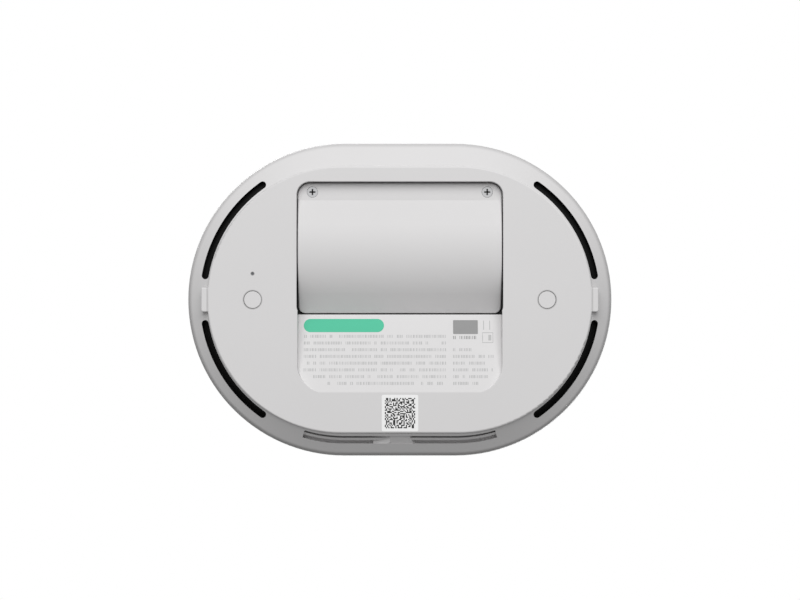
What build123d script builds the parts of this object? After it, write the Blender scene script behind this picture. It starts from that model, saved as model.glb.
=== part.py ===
from build123d import *
import os
from math import asin, atan, cos, degrees, pi, radians, sin, sqrt, tan

# Body: a stadium footprint, half round about two end centres that stand body_span apart
body_span = 42.0
body_radius = 58.9
body_height = 98.0
wall = 2.2
moving_gap = 0.3        # between pieces that move against each other
seam_gap = 0.4          # the line round the battery door
trim_gap = 0.1          # between pieces set into each other for good

# Underside: a flat plate that stands proud of a 45 degree band
plate_span = 44.0
plate_inset = 9.2       # from the body's outline in to the plate's edge
plate_rim = 1.2
plate_thickness = 2.4
plate_edge_round = 0.7
opening_round = 0.25    # along the edge of the well
seat_lip = 0.3          # from the plate's edge to the foot of the 45 degree band
seat_width = 3.1
seat_thickness = 2.0
band_round = 6.15       # from the band into the upright wall
shell_top = 30.0
deck_drop = 3.1         # from the shell's upper edge down to the deck
deck_thickness = 2.0
wire_hole_half = 12.0
wire_hole_front = 6.5
wire_hole_rear = 18.0
wire_hole_corner = 3.0
tongue_reach = 2.3
tongue_width = 9.2
tongue_bottom = 0.2
tongue_height = 3.7
tongue_round = 0.8
tongue_soft = 0.5

# Slots in the band, one near each corner
slot_rise = 2.5         # from the foot of the band out to the middle of the slot
slot_width = 2.9
slot_start = 9.95       # degrees from the long axis, to the centre of the round end
slot_sweep = 44.7
mesh_thickness = 0.5
mesh_margin = 0.6

# Groove under the rear edge, with a ridge along it, and a block at the middle that a ramp leads up to
groove_near = 0.85      # from the foot of the band out to the groove
groove_width = 3.05
groove_depth = 3.4
groove_half = 36.0
groove_floor = 2.1
ridge_near = 1.6
ridge_width = 0.9
ridge_depth = 1.2
block_depth = 0.5
block_left = -3.7
block_right = 3.4
block_right_foot = 6.0
ramp_foot = -10.0
ramp_depth = 1.5
ramp_lean = 24.0
ramp_slope = 14.0
ramp_skin = 0.15

# Battery door and the scoop beside it
door_half = 38.05
door_front = -43.55
door_rear = 5.15
door_front_corner = 4.6
door_rear_corner = 2.6
door_thickness = 1.8
door_edge_round = 0.6
crest_y = -20.0
crest_z = 0.15
barrel_radius = 34.0
incline_angle = 13.0
decline_angle = 31.0
crease_y = -37.1
scoop_half = 38.1
scoop_rear = 34.5
scoop_corner = 10.4
scoop_floor = 2.0
tub_wall = 1.8
tub_top = 12.0
shelf_thickness = 2.0
shelf_width = 6.3

# Door screws
screw_x = 32.65
screw_y = -40.2
screw_head_radius = 2.0
screw_head_height = 1.1
screw_radius = 1.2
screw_length = 5.4
screw_recess = 0.3
screw_fit = 0.1
cross_width = 0.55
cross_length = 2.3
cross_depth = 0.7
boss_radius = 2.6
prong_x = 20.0
prong_width = 6.0
prong_thickness = 1.2
prong_rear_gap = 0.55
prong_top = 15.0

# Battery: two cells side by side
cell_radius = 9.15
cell_length = 65.0
cell_gap = 0.6
cell_y = -17.0          # middle of the pair
cell_z = 15.6
cell_clear = 0.3
terminal_radius = 3.0
terminal_height = 0.8
tray_wall = 1.4
tray_half = 37.0
tray_flange = 1.4
ridge_half = 4.0        # rib of the tray's roof between the cells
cell_round = 0.6
contact_thickness = 0.4
contact_width = 9.0
pad_thickness = 1.4
pad_half = 24.0
pad_turn = 4.0          # degrees each way from the middle of the pair

# Buttons and light in the plate
button_x = 54.8
button_radius = 3.27
button_recess = 0.25
button_fit = 0.1        # running fit of the buttons in their bores
button_travel = 0.8
button_flange = 4.6
flange_thickness = 1.0
collar_radius = 4.8
collar_height = 1.6
lamp_y = -9.7
lamp_radius = 0.55
pipe_radius = 0.9
pipe_flange = 1.6
side_board_z = 10.0
board_thickness = 1.2
side_board_inner = 47.0
side_board_outer = 63.0
side_board_front = -14.5
side_board_rear = 8.5
side_post_radius = 2.0
side_post_y = (-12.4, 6.4)
side_post_x = 60.8
switch_size = 5.0
nub_radius = 1.4
nub_height = 0.8

# Main board behind the battery, hung from the deck, and the power inlet at its rear edge
main_board_z = 19.0
main_board_half = 46.0
main_board_front = 9.5
main_board_rear = 46.5
main_board_corner = 7.0
main_post_x = 40.0
main_post_y = (14.0, 41.0)
main_post_radius = 2.6
inlet_x = -2.0
inlet_width = 8.9
inlet_height = 3.3
inlet_length = 7.4
inlet_setback = 1.2
inlet_skin = 0.3
inlet_tongue = 0.7
inlet_funnel = 1.6
board_tab_half = 8.0
can_size = (22.0, 18.0, 2.2)
can_place = (24.0, 28.0)
sink_size = (26.0, 22.0, 1.6)
sink_place = (-18.0, 26.0)
fin_count = 6
fin_height = 2.6
fin_thickness = 1.0
plug_size = (8.0, 5.0, 5.0)
plug_places = (-30.0, -6.0, 8.0, 28.0)

# Small and long screws of the housing
small_screw_radius = 0.9
small_head_radius = 1.7
small_head_height = 1.1
small_screw_length = 5.0
stack_x = 50.0
stack_y = 25.0
stack_radius = 1.5
stack_head_radius = 2.8
stack_head_height = 1.9
stack_column = 3.6
stack_tip = 5.5         # from the top of the body down to the screws' ends

# Speaker box
box_clear = 5.4         # between the box and the grille frame round it
box_wall = 2.4
box_flat = 44.0         # distance of the front and rear faces from the middle
cap_height = 13.3
lid_thickness = 2.4
gasket_thickness = 0.6
baffle_drop = 28.5      # from the box's top down to the drivers' axis

# Driver, drawn with its axis upright and its front face up
driver_half = 25.8
driver_corner = 4.0
driver_flange = 1.6
driver_hole = 23.4
driver_screw_pitch = 21.9
basket_throat = 22.0
basket_wall = 1.2
basket_collar = 3.0
basket_shelf_z = -10.5
basket_shelf_radius = 16.0
basket_back_radius = 13.5
basket_back_z = -15.6
basket_windows = 4
window_width = 12.0
coil_gap = 0.3
coil_radius = 6.5
coil_thickness = 0.4
coil_back = -21.0
pole_radius = 6.2
top_plate_radius = 13.0
top_plate_thickness = 2.5
magnet_inner = 9.0
magnet_outer = 15.5
magnet_thickness = 7.0
magnet_round = 0.6
yoke_thickness = 3.0
yoke_radius = 14.5
cone_edge = 17.3
cone_neck_z = -8.0
cone_thickness = 0.8
cap_radius = 7.6
cap_rise = 3.4
roll_outer = 21.6
surround_thickness = 0.6
surround_lip = 24.0
spider_waves = 3
spider_rise = 0.7

# Passive radiator in the rear face, a stadium
radiator_span = 28.0
radiator_opening = 18.0
radiator_half_width = 38.0
radiator_half_height = 24.5
radiator_corner = 6.0
radiator_flange = 2.0
radiator_plate = 13.2
radiator_plate_thickness = 2.0
weight_span = 14.0
weight_radius = 6.0
weight_thickness = 3.0
radiator_screw = (33.5, 20.0)

# Grille frame and fabric sleeve
sleeve_depth = 1.0      # from the body's outline in to the frame
sleeve_round = 0.4
grille_wall = 1.6
sleeve_edge = 0.3
window_count_end = 26
window_count_side = 7
window_gap = 3.0
window_margin = 6.0

# Top cap with its light ring, buttons and board
cap_round = 5.0
cap_top = 3.0
cap_shoulder = 3.0      # thickening inside the cap's corner
ring_inset = 5.5        # from the body's outline in to the light ring
ring_width = 2.4
ring_depth = 1.6
dish_inset = 3.1        # from the ring in to the dish's edge
dish_depth = 0.8
dish_slope = 1.0
light_count = 24
light_hole = 1.0
light_size = (1.8, 1.8, 0.8)
top_board_clear = 2.3   # between the board and the wall round it
top_board_drop = 8.0
top_board_thickness = 1.6
top_button_radius = 6.5
top_button_proud = 0.4
top_button_flange = 7.6
top_flange_thickness = 1.0
top_button_reach = 18.0
top_switch_height = 0.7
top_nub_height = 0.4
post_shoulder = 4.6
post_neck = 3.2
mic_x = 34.0
mic_y = 24.0
mic_hole = 0.6
mic_size = (3.5, 3.0, 1.0)
mic_gasket_radius = 1.6
antenna_drop = 18.7     # from the box's top down to the strips
antenna_height = 12.0
antenna_turn = 50.0
antenna_thickness = 0.3

BASE = (Align.CENTER, Align.CENTER, Align.MIN)

# Places worked out from the sizes above
body_inner = body_radius - wall
plate_radius = body_radius - plate_inset
band_start = plate_radius + seat_lip
seat_inner = band_start - seat_width
slot_radius = band_start + slot_rise
groove_inner = band_start + groove_near
groove_outer = groove_inner + groove_width
ridge_inner = band_start + ridge_near
ridge_outer = ridge_inner + ridge_width
deck_z = shell_top - deck_drop
grille_radius = body_radius - sleeve_depth
grille_inner = grille_radius - grille_wall
box_radius = grille_inner - box_clear
box_top = body_height - cap_height
baffle_z = box_top - baffle_drop
stack_end = body_height - stack_tip
ring_outer = body_radius - ring_inset
ring_inner = ring_outer - ring_width
dish_radius = ring_inner - dish_inset
top_board_radius = body_inner - top_board_clear
top_board_z = body_height - top_board_drop
antenna_z = box_top - antenna_drop
barrel_z = crest_z + barrel_radius
well_half = door_half + seam_gap
well_front = door_front - seam_gap
well_rear = door_rear + seam_gap
seat_z = plate_rim
box_bottom = deck_z + deck_thickness
main_board_top = main_board_z + board_thickness
inlet_z = main_board_top + inlet_height / 2
tray_front = cell_y - cell_gap / 2 - 2 * cell_radius - cell_clear
tray_rear = cell_y + cell_gap / 2 + 2 * cell_radius + cell_clear
tray_roof = cell_z + cell_radius + cell_clear
cap_inside = body_height - cap_top
dish_z = body_height - dish_depth


def barrel_point(angle, radius):
    """Point (y, z) of an arc about the barrel's axis, at so many degrees behind its crest."""
    return crest_y + radius * sin(radians(angle)), barrel_z - radius * cos(radians(angle))


front_tangent = barrel_point(-incline_angle, barrel_radius)
rear_tangent = barrel_point(decline_angle, barrel_radius)
strip_z = front_tangent[1] + (front_tangent[0] - crease_y) * tan(radians(incline_angle))
valley_z = rear_tangent[1] + (door_rear - rear_tangent[0]) * tan(radians(decline_angle))
scoop_slope = valley_z / (scoop_rear - well_rear)
shelf_z = strip_z + door_thickness + moving_gap


def outline(*points, rounds=()):
    """Closed face through the points; rounds holds (point, radius) pairs."""
    face = make_face(Polyline(*points, close=True))
    for point, radius in rounds:
        face = fillet(face.vertices().sort_by_distance(point)[0], radius)
    return face


def race(profile, span):
    """A (radius, height) profile turned half round each end centre and run straight between them."""
    side = extrude(Plane.YZ.offset(-span / 2) * profile, span)
    end = revolve(Plane.YZ.offset(span / 2) * profile, Axis((span / 2, 0, 0), (0, 0, -1)), 180)
    return side + mirror(side, Plane.XZ) + end + mirror(end, Plane.YZ)


def rear_run(profile, turn):
    """A (radius, height) profile run along the rear side and some degrees round both ends."""
    side = extrude(Plane.YZ.offset(-body_span / 2) * profile, body_span)
    end = revolve(Plane.YZ.offset(body_span / 2) * profile, Axis((body_span / 2, 0, 0), (0, 0, -1)), turn)
    return side + end + mirror(end, Plane.YZ)


def slab(span, radius, low, high):
    """Stadium block between two heights."""
    return Pos(0, 0, low) * extrude(SlotCenterToCenter(span, 2 * radius), high - low)


def block(x, y, z):
    """Box between (low, high) pairs."""
    size = [high - low for low, high in (x, y, z)]
    return Pos(*[(low + high) / 2 for low, high in (x, y, z)]) * Box(*size)


def rod(x, y, low, high, radius):
    return Pos(x, y, low) * Cylinder(radius, high - low, align=BASE)


def tablet(half, front, rear, front_corner, rear_corner, low, high):
    """Upright block with one corner radius at the front and another at the rear."""
    corners = (((-half, front), front_corner), ((half, front), front_corner),
               ((-half, rear), rear_corner), ((half, rear), rear_corner))
    face = outline((-half, front), (half, front), (half, rear), (-half, rear), rounds=corners)
    return Pos(0, 0, low) * extrude(face, high - low)


def long_block(profile, half):
    """A (y, z) face run along X, the same way each side of the middle."""
    return extrude(Plane.YZ.offset(-half) * profile, 2 * half)


def four_ways(piece):
    """The piece with its mirror images in both upright middle planes."""
    pair = [piece, mirror(piece, Plane.YZ)]
    return pair + [mirror(each, Plane.XZ) for each in pair]


def corners(x, y):
    return [(sx * x, sy * y) for sx in (-1, 1) for sy in (-1, 1)]


def screw(x, y, head_face, radius, length, head_radius, head_height):
    """Screw driven upwards: its head lies below head_face, its shank above."""
    head = rod(x, y, head_face - head_height, head_face, head_radius)
    return head + rod(x, y, head_face, head_face + length, radius)


def small_screw(x, y, head_face):
    """Small screw driven downwards: its head stands on head_face."""
    shank = rod(x, y, head_face - small_screw_length, head_face, small_screw_radius)
    return shank + rod(x, y, head_face, head_face + small_head_height, small_head_radius)


def cross_recess(x, y, low):
    """Cross of a driver, cut up into a screw's head from its lower face."""
    bar = Box(cross_length, cross_width, cross_depth, align=BASE)
    return Pos(x, y, low) * (bar + Rot(0, 0, 90) * bar)


def front_facing(piece):
    """A piece drawn upright about the Z axis, turned forwards into the front face of the box."""
    return Pos(0, -box_flat, baffle_z) * Rot(90, 0, 0) * piece


def rear_facing(piece):
    """A piece drawn upright about the Z axis, turned backwards into the rear face of the box."""
    return Pos(0, box_flat, baffle_z) * Rot(-90, 0, 0) * piece


# Housing round the base

def band_z(radius):
    """Height of the outer face of the 45 degree band."""
    return seat_z + radius - band_start


def band_inner_z(radius):
    return band_z(radius) + wall * sqrt(2)


def shell_profile():
    ring_top = seat_z + seat_thickness
    ring_edge = band_start - wall * sqrt(2) + seat_thickness
    knee = (body_radius, band_z(body_radius))
    return outline(
        (seat_inner, seat_z), (band_start, seat_z), knee, (body_radius, shell_top), (body_inner, shell_top),
        (body_inner, band_inner_z(body_inner)), (ring_edge, ring_top), (seat_inner, ring_top),
        rounds=[(knee, band_round)])


def sloped_strip(inner, outer, near, far):
    """Profile between two radii and two depths measured upwards from the band's outer face."""
    return outline((inner, band_z(inner) + near), (outer, band_z(outer) + near),
                   (outer, band_z(outer) + far), (inner, band_z(inner) + far))


def groove_turn():
    """Degrees that the groove runs on round each end centre."""
    return degrees(asin((groove_half - body_span / 2) / ((groove_inner + groove_outer) / 2)))


def rear_groove():
    """The space of the groove: open below, a ridge along its floor, a ramp and a block at the middle."""
    space = rear_run(sloped_strip(groove_inner, groove_outer, -2 * groove_depth, groove_depth), groove_turn())
    ridge = rear_run(sloped_strip(ridge_inner, ridge_outer, ridge_depth, groove_depth), groove_turn())
    low, high = band_z(groove_inner) + block_depth, band_z(groove_outer) + groove_depth
    middle = rear_run(sloped_strip(groove_inner, groove_outer, block_depth, groove_depth), groove_turn())
    sides = outline((block_left, low), (block_right, low), (block_right_foot, high), (block_left, high))
    wedge = extrude(Plane.XZ.offset(-groove_outer - wall) * sides, 2 * wall + groove_width)
    return space - ridge - (middle & wedge) - groove_ramp()


def groove_ramp():
    """Solid of the ramp: it falls away to the left of the block and leans rearwards less than the band."""
    length = block_left - ramp_foot
    space = rear_run(sloped_strip(groove_inner, groove_outer, ramp_skin, groove_depth), groove_turn())
    corner = Pos(block_left, groove_inner, band_z(groove_inner) + ramp_depth)
    above = Box(3 * length, 6 * groove_width, 6 * groove_depth, align=(Align.CENTER, Align.CENTER, Align.MIN))
    reach = block((ramp_foot, block_left), (groove_inner - wall, groove_outer + wall), (0, deck_z))
    return space & reach & (corner * Rot(ramp_lean, ramp_slope, 0) * above)


def band_slots():
    face = SlotArc(CenterArc((body_span / 2, 0), slot_radius, slot_start, slot_sweep), slot_width)
    return four_ways(extrude(face, deck_z / 2))


def tongue(gap):
    """Snap tongues of the plate, or with a gap their windows in the shell."""
    reach = plate_span / 2 + plate_radius
    half = tongue_width / 2 + gap
    right = block((reach - 2 * wall, reach + tongue_reach + gap), (-half, half),
                  (tongue_bottom - gap, tongue_bottom + tongue_height + gap))
    if not gap:
        right = fillet(right.edges().filter_by(Axis.Z).group_by(Axis.X)[-1], tongue_round)
        right = fillet(right.edges().group_by(Axis.Z)[0], tongue_soft)
    return right + mirror(right, Plane.YZ)


def lower_shell():
    body = race(shell_profile(), body_span)
    body += slab(body_span, body_inner, deck_z, deck_z + deck_thickness)
    backing = sloped_strip(groove_inner - groove_floor, groove_outer + groove_floor,
                           wall, groove_depth + groove_floor)
    inside = slab(body_span, body_inner, seat_z + seat_thickness, deck_z)
    body += rear_run(backing, groove_turn() + 2) & inside
    body -= rear_groove()
    for space in band_slots():
        body -= space
    for x in (-main_post_x, main_post_x):
        for y in main_post_y:
            body += rod(x, y, main_board_top, deck_z, main_post_radius)
            body -= rod(x, y, main_board_z, main_board_top + small_screw_length, small_screw_radius)
    body -= tongue(trim_gap)
    body -= tub_block(tub_wall + trim_gap, 0, tub_top)
    body -= inlet_window()
    for x, y in corners(stack_x, stack_y):
        body -= rod(x, y, 0, body_height, stack_radius + trim_gap)
    return body - tablet(wire_hole_half, wire_hole_front, wire_hole_rear, wire_hole_corner, wire_hole_corner,
                         deck_z, box_bottom)


def inlet_face(grow):
    """The inlet's oval outline, grown or shrunk."""
    return SlotOverall(inlet_width + 2 * grow, inlet_height + 2 * grow)


def inlet_window():
    """Opening for the inlet in the rear wall, with a shallow funnel for the plug's moulding."""
    def pill(grow, y0, y1):
        return Pos(inlet_x, y1, inlet_z) * Rot(90, 0, 0) * extrude(inlet_face(grow), y1 - y0)
    return pill(trim_gap, body_inner - wall, body_radius + wall) + \
        pill(inlet_funnel, body_radius - inlet_setback + 0.2, body_radius + wall)


def slot_meshes():
    reach = slot_width / 2 + mesh_margin
    strip = sloped_strip(slot_radius - reach, slot_radius + reach,
                         wall * sqrt(2), (wall + mesh_thickness) * sqrt(2))
    end = degrees(slot_width / slot_radius)
    turned = revolve(Plane.XZ * strip, Axis.Z, slot_sweep + 2 * end)
    return four_ways(Pos(body_span / 2, 0, 0) * Rot(0, 0, slot_start - end) * turned)


# Base plate with the battery well and the scoop

def tub_block(grow, low, high):
    """The battery well's outline, grown outwards."""
    return tablet(well_half + grow, well_front - grow, well_rear + grow,
                  door_front_corner + seam_gap + grow, door_rear_corner + seam_gap + grow, low, high)


def scoop_block(grow, low):
    """Wedge between the scoop's sloped floor and the height low, grown outwards and upwards."""
    lift = scoop_floor * sqrt(1 + scoop_slope ** 2) if grow else 0
    heel = well_rear - tub_wall
    heel_z = valley_z + (well_rear - heel) * scoop_slope + lift
    toe = scoop_rear + (lift - low) / scoop_slope
    plan = tablet(scoop_half + grow, heel, scoop_rear + grow, 0.5, scoop_corner + grow, low, tub_top)
    return long_block(outline((heel, low), (heel, heel_z), (toe, low)), well_half + 2 * tub_wall) & plan


def base_plate():
    rim = slab(plate_span, plate_radius, 0, plate_rim)
    rim = fillet(rim.edges().group_by(Axis.Z)[0], plate_edge_round)
    body = rim + slab(body_span, seat_inner - trim_gap, plate_rim, plate_thickness)
    body += tongue(0) + tub_block(tub_wall, 0.5, tub_top) + scoop_block(tub_wall, 0.5)
    body -= tub_block(0, -1, tub_top + 1)
    body -= scoop_block(0, -1)
    well_edge = [edge for edge in body.edges().group_by(Axis.Z)[0]
                 if abs(edge.center().X) < well_half + tub_wall and edge.center().Y > well_front - tub_wall
                 and max(corner.Y for corner in edge.vertices()) < well_rear]
    body = fillet(well_edge, opening_round)
    shelf = block((-well_half - 0.5, well_half + 0.5), (well_front - 0.5, well_front + shelf_width),
                  (shelf_z, shelf_z + shelf_thickness))
    body += shelf & tub_block(tub_wall / 2, 0, tub_top)
    for x in (-screw_x, screw_x):
        body += rod(x, screw_y, shelf_z, tub_top, boss_radius)
        body -= rod(x, screw_y, 0, tub_top, screw_radius + screw_fit)
    for x in (-button_x, button_x):
        body += rod(x, 0, plate_rim, plate_thickness + collar_height, collar_radius)
        body -= rod(x, 0, -1, tub_top, button_radius + button_fit)
        for y in side_post_y:
            post_x = side_post_x if x > 0 else -side_post_x
            body += rod(post_x, y, plate_rim, side_board_z, side_post_radius)
            body -= rod(post_x, y, plate_thickness, side_board_z, small_screw_radius)
    return body - rod(-button_x, lamp_y, -1, tub_top, lamp_radius)


# Battery door and what moves with it

def door_skin(near, far):
    """Face between two depths behind the door's outer line: strip, incline, barrel and decline."""
    def line(depth):
        radius = barrel_radius - depth
        front, rear = barrel_point(-incline_angle, radius), barrel_point(decline_angle, radius)
        crease = front[0] - (strip_z + depth - front[1]) / tan(radians(incline_angle))
        end_z = rear[1] + (door_rear + 1 - rear[0]) * tan(radians(decline_angle))
        return [(door_front - 1, strip_z + depth), (crease, strip_z + depth), front,
                barrel_point(0, radius), rear, (door_rear + 1, end_z)]
    a, b = line(near), line(far)
    return make_face(
        Polyline(a[0], a[1], a[2]) + ThreePointArc(a[2], a[3], a[4]) + Line(a[4], a[5]) + Line(a[5], b[5])
        + Line(b[5], b[4]) + ThreePointArc(b[4], b[3], b[2]) + Polyline(b[2], b[1], b[0], a[0]))


def battery_door():
    plan = tablet(door_half, door_front, door_rear, door_front_corner, door_rear_corner, -1, tub_top + 4)
    skin = long_block(door_skin(0, door_thickness), door_half + 1) & plan
    outer = [face.edges() for face in skin.faces() if face.normal_at().Z < -0.5]
    border = [edge for edges in outer for edge in edges if sum(edge in other for other in outer) == 1]
    skin = fillet(border, door_edge_round)
    for prong in prongs(0):
        skin += prong & block((-door_half, door_half), (door_front, door_rear), (valley_z, prong_top))
    for x in (-screw_x, screw_x):
        skin -= rod(x, screw_y, strip_z - 1, strip_z + screw_recess + screw_head_height,
                    screw_head_radius + screw_fit)
        skin -= rod(x, screw_y, strip_z, tub_top, screw_radius + screw_fit)
    return skin


def prongs(gap):
    """The two prongs of the door's rear edge, or with a gap the notches that they pass."""
    rear = well_rear - prong_rear_gap
    half = prong_width / 2 + gap
    return [block((x - half, x + half), (rear - prong_thickness - gap, rear + gap), (0, prong_top + gap))
            for x in (-prong_x, prong_x)]


def door_screws():
    face = strip_z + screw_recess + screw_head_height
    return [screw(x, screw_y, face, screw_radius, screw_length, screw_head_radius, screw_head_height)
            - cross_recess(x, screw_y, face - screw_head_height) for x in (-screw_x, screw_x)]


def cell_pad():
    """Foam strip on the door's inner face, under the groove between the cells."""
    middle = degrees(atan((cell_y - crest_y) / barrel_radius))
    outer, inner = barrel_radius - door_thickness, barrel_radius - door_thickness - pad_thickness
    a, b, c = [barrel_point(middle + turn, outer) for turn in (-pad_turn, 0, pad_turn)]
    d, e, f = [barrel_point(middle + turn, inner) for turn in (pad_turn, 0, -pad_turn)]
    face = make_face(ThreePointArc(a, b, c) + Line(c, d) + ThreePointArc(d, e, f) + Line(f, a))
    return long_block(face, pad_half)


# Battery

def cell_rows():
    return [cell_y + side * (cell_gap / 2 + cell_radius) for side in (-1, 1)]


def battery_cells():
    """Two cells that lie opposite ways round, each with its raised terminal."""
    cells = []
    for y, way in zip(cell_rows(), (-1, 1)):
        can = Rot(0, 90, 0) * Cylinder(cell_radius, cell_length)
        can = fillet(can.edges(), cell_round)
        tip = Pos(way * (cell_length + terminal_height) / 2, 0, 0) * Rot(0, 90, 0) \
            * Cylinder(terminal_radius, terminal_height)
        cells.append(Pos(0, y, cell_z) * (can + tip))
    return cells


def battery_tray():
    """Upturned tray over the cells, with a flange on the plate's tub."""
    outer = tray_half + tray_wall
    body = block((-outer, outer), (tray_front - tray_wall, tray_rear + tray_wall),
                 (tub_top, tray_roof + tray_wall))
    body += tub_block(tub_wall, tub_top, tub_top + tray_flange)
    body -= block((-tray_half, tray_half), (tray_front, tray_rear), (0, tray_roof))
    for notch in prongs(moving_gap):
        body -= notch
    for x in (-screw_x, screw_x):
        body -= rod(x, screw_y, 0, tray_roof, screw_radius + screw_fit)
    ridge = [(cell_y - ridge_half, tray_roof), (cell_y + ridge_half, tray_roof),
             (cell_y, tray_roof - ridge_half)]
    return body + long_block(outline(*ridge), tray_half)


def leaf(x_wall, x_cell, y):
    """Bent contact strip from the tray's end wall to a cell's end."""
    way = 1 if x_wall > x_cell else -1
    t = contact_thickness * way
    low, high = cell_z - cell_radius + 2, cell_z + cell_radius - 1
    foot, peak = low + 2, cell_z + 2
    side = outline((x_wall, low), (x_wall, high), (x_wall - t, high), (x_wall - t, foot),
                   (x_cell + 2 * t, peak + 1), (x_cell, peak + 1), (x_cell, peak - 3), (x_cell + t, peak - 3),
                   (x_cell + t, peak), (x_wall - 2 * t, low))
    half = contact_width / 2
    return extrude(Plane.XZ.offset(-y - half) * side, contact_width)


def battery_contacts():
    """One strip at each end of each cell: long ones on the flat ends, short ones on the terminals."""
    leaves = []
    for y, way in zip(cell_rows(), (-1, 1)):
        leaves.append(leaf(-way * tray_half, -way * cell_length / 2, y))
        leaves.append(leaf(way * tray_half, way * (cell_length / 2 + terminal_height), y))
    return leaves


# Underside buttons, their boards and the status light

def plate_button(x):
    low = button_recess
    flange_low = plate_thickness + collar_height + moving_gap
    body = rod(x, 0, low, flange_low, button_radius)
    body += rod(x, 0, flange_low, flange_low + flange_thickness, button_flange)
    return fillet(body.edges().group_by(Axis.Z)[0], 0.3)


def nub_low():
    """Lower face of a switch's nub, clear of the pressed button."""
    return plate_thickness + collar_height + 2 * moving_gap + flange_thickness + button_travel


def plate_switch(x):
    body_low = nub_low() + nub_height
    size = switch_size / 2
    return block((x - size, x + size), (-size, size), (body_low, side_board_z)) \
        + rod(x, 0, nub_low(), body_low, nub_radius)


def side_board(x_sign):
    x = sorted((x_sign * side_board_inner, x_sign * side_board_outer))
    board = block(x, (side_board_front, side_board_rear), (side_board_z, side_board_z + board_thickness))
    for y in side_post_y:
        board -= rod(x_sign * side_post_x, y, 0, tub_top * 2, small_screw_radius + trim_gap)
    return board


def side_board_screws():
    top = side_board_z + board_thickness
    return [small_screw(x, y, top) for x in (-side_post_x, side_post_x) for y in side_post_y]


def light_pipe():
    lamp = rod(-button_x, lamp_y, button_recess, plate_thickness, lamp_radius)
    lamp += rod(-button_x, lamp_y, plate_thickness, plate_thickness + flange_thickness, pipe_flange)
    return lamp + rod(-button_x, lamp_y, plate_thickness, side_board_z - light_size[2], pipe_radius)


def chip(x, y, low, size):
    return block((x - size[0] / 2, x + size[0] / 2), (y - size[1] / 2, y + size[1] / 2), (low, low + size[2]))


# Main board and power inlet

def main_board():
    board = tablet(main_board_half, main_board_front, main_board_rear, 2, main_board_corner,
                   main_board_z, main_board_top)
    board += block((inlet_x - board_tab_half, inlet_x + board_tab_half),
                   (main_board_rear - 2, body_inner - 2), (main_board_z, main_board_top))
    for x in (-main_post_x, main_post_x):
        for y in main_post_y:
            board -= rod(x, y, 0, deck_z, small_screw_radius + trim_gap)
    return board


def main_board_screws():
    sizes = (small_screw_radius, small_screw_length, small_head_radius, small_head_height)
    return [screw(x, y, main_board_z, *sizes) for x in (-main_post_x, main_post_x) for y in main_post_y]


def power_inlet():
    """Oval metal socket with a flat tongue, open to the rear."""
    socket = extrude(inlet_face(0), inlet_length) - extrude(inlet_face(-inlet_skin), inlet_length - 1.2)
    socket = Pos(inlet_x, body_radius - inlet_setback, inlet_z) * Rot(90, 0, 0) * socket
    half = inlet_width / 2 - 1.2
    y = body_radius - inlet_setback
    return socket + block((inlet_x - half, inlet_x + half), (y - inlet_length + 1, y - 0.8),
                          (inlet_z - inlet_tongue / 2, inlet_z + inlet_tongue / 2))


def shield_can():
    can = chip(*can_place, main_board_top, can_size)
    return fillet(can.edges().filter_by(Axis.Z), 1.0)


def heat_sink():
    """Finned plate on the processor."""
    body = chip(*sink_place, main_board_top, sink_size)
    fin = (sink_size[0], fin_thickness, fin_height)
    pitch = (sink_size[1] - fin_thickness) / (fin_count - 1)
    for i in range(fin_count):
        y = sink_place[1] - sink_size[1] / 2 + fin_thickness / 2 + i * pitch
        body += chip(sink_place[0], y, main_board_top + sink_size[2], fin)
    return body


def board_connectors():
    return [chip(x, main_board_front + plug_size[1] / 2 + 0.5, main_board_z - plug_size[2], plug_size)
            for x in plug_places]


# Speaker box

def box_plan(grow, low, high):
    """Stadium with flat front and rear faces, grown or shrunk."""
    flat = box_flat + grow
    limit = block((-body_radius * 2, body_radius * 2), (-flat, flat), (low - 1, high + 1))
    return slab(body_span, box_radius + grow, low, high) & limit


def speaker_box():
    top = box_top - lid_thickness - gasket_thickness
    body = box_plan(0, box_bottom, top) - box_plan(-box_wall, box_bottom + box_wall, top + 1)
    for x, y in corners(stack_x, stack_y):
        body += rod(x, y, box_bottom, top, stack_column)
        body -= rod(x, y, 0, body_height, stack_radius + trim_gap)
    body -= front_facing(rod(0, 0, -2 * box_wall, box_wall, driver_hole))
    body -= rear_facing(slab(radiator_span, radiator_opening, -2 * box_wall, box_wall))
    for x, y in corners(driver_screw_pitch, driver_screw_pitch):
        body -= front_facing(rod(x, y, -2 * box_wall, box_wall, small_screw_radius))
    for x, y in corners(*radiator_screw):
        body -= rear_facing(rod(x, y, -2 * box_wall, box_wall, small_screw_radius))
    return body


def box_gasket():
    low = box_top - lid_thickness - gasket_thickness
    ring = box_plan(0, low, low + gasket_thickness)
    return ring - box_plan(-box_wall, low - 1, low + gasket_thickness + 1)


def box_lid():
    lid = box_plan(0, box_top - lid_thickness, box_top)
    for x, y in corners(stack_x, stack_y):
        lid -= rod(x, y, 0, body_height, stack_radius + trim_gap)
    return lid


def stack_screws():
    return [screw(x, y, deck_z, stack_radius, stack_end - deck_z, stack_head_radius, stack_head_height)
            for x, y in corners(stack_x, stack_y)]


# Driver

def turned(*points, rounds=()):
    """Ring or disc turned from a (radius, height) outline."""
    return revolve(Plane.XZ * outline(*points, rounds=rounds), Axis.Z)


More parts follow.
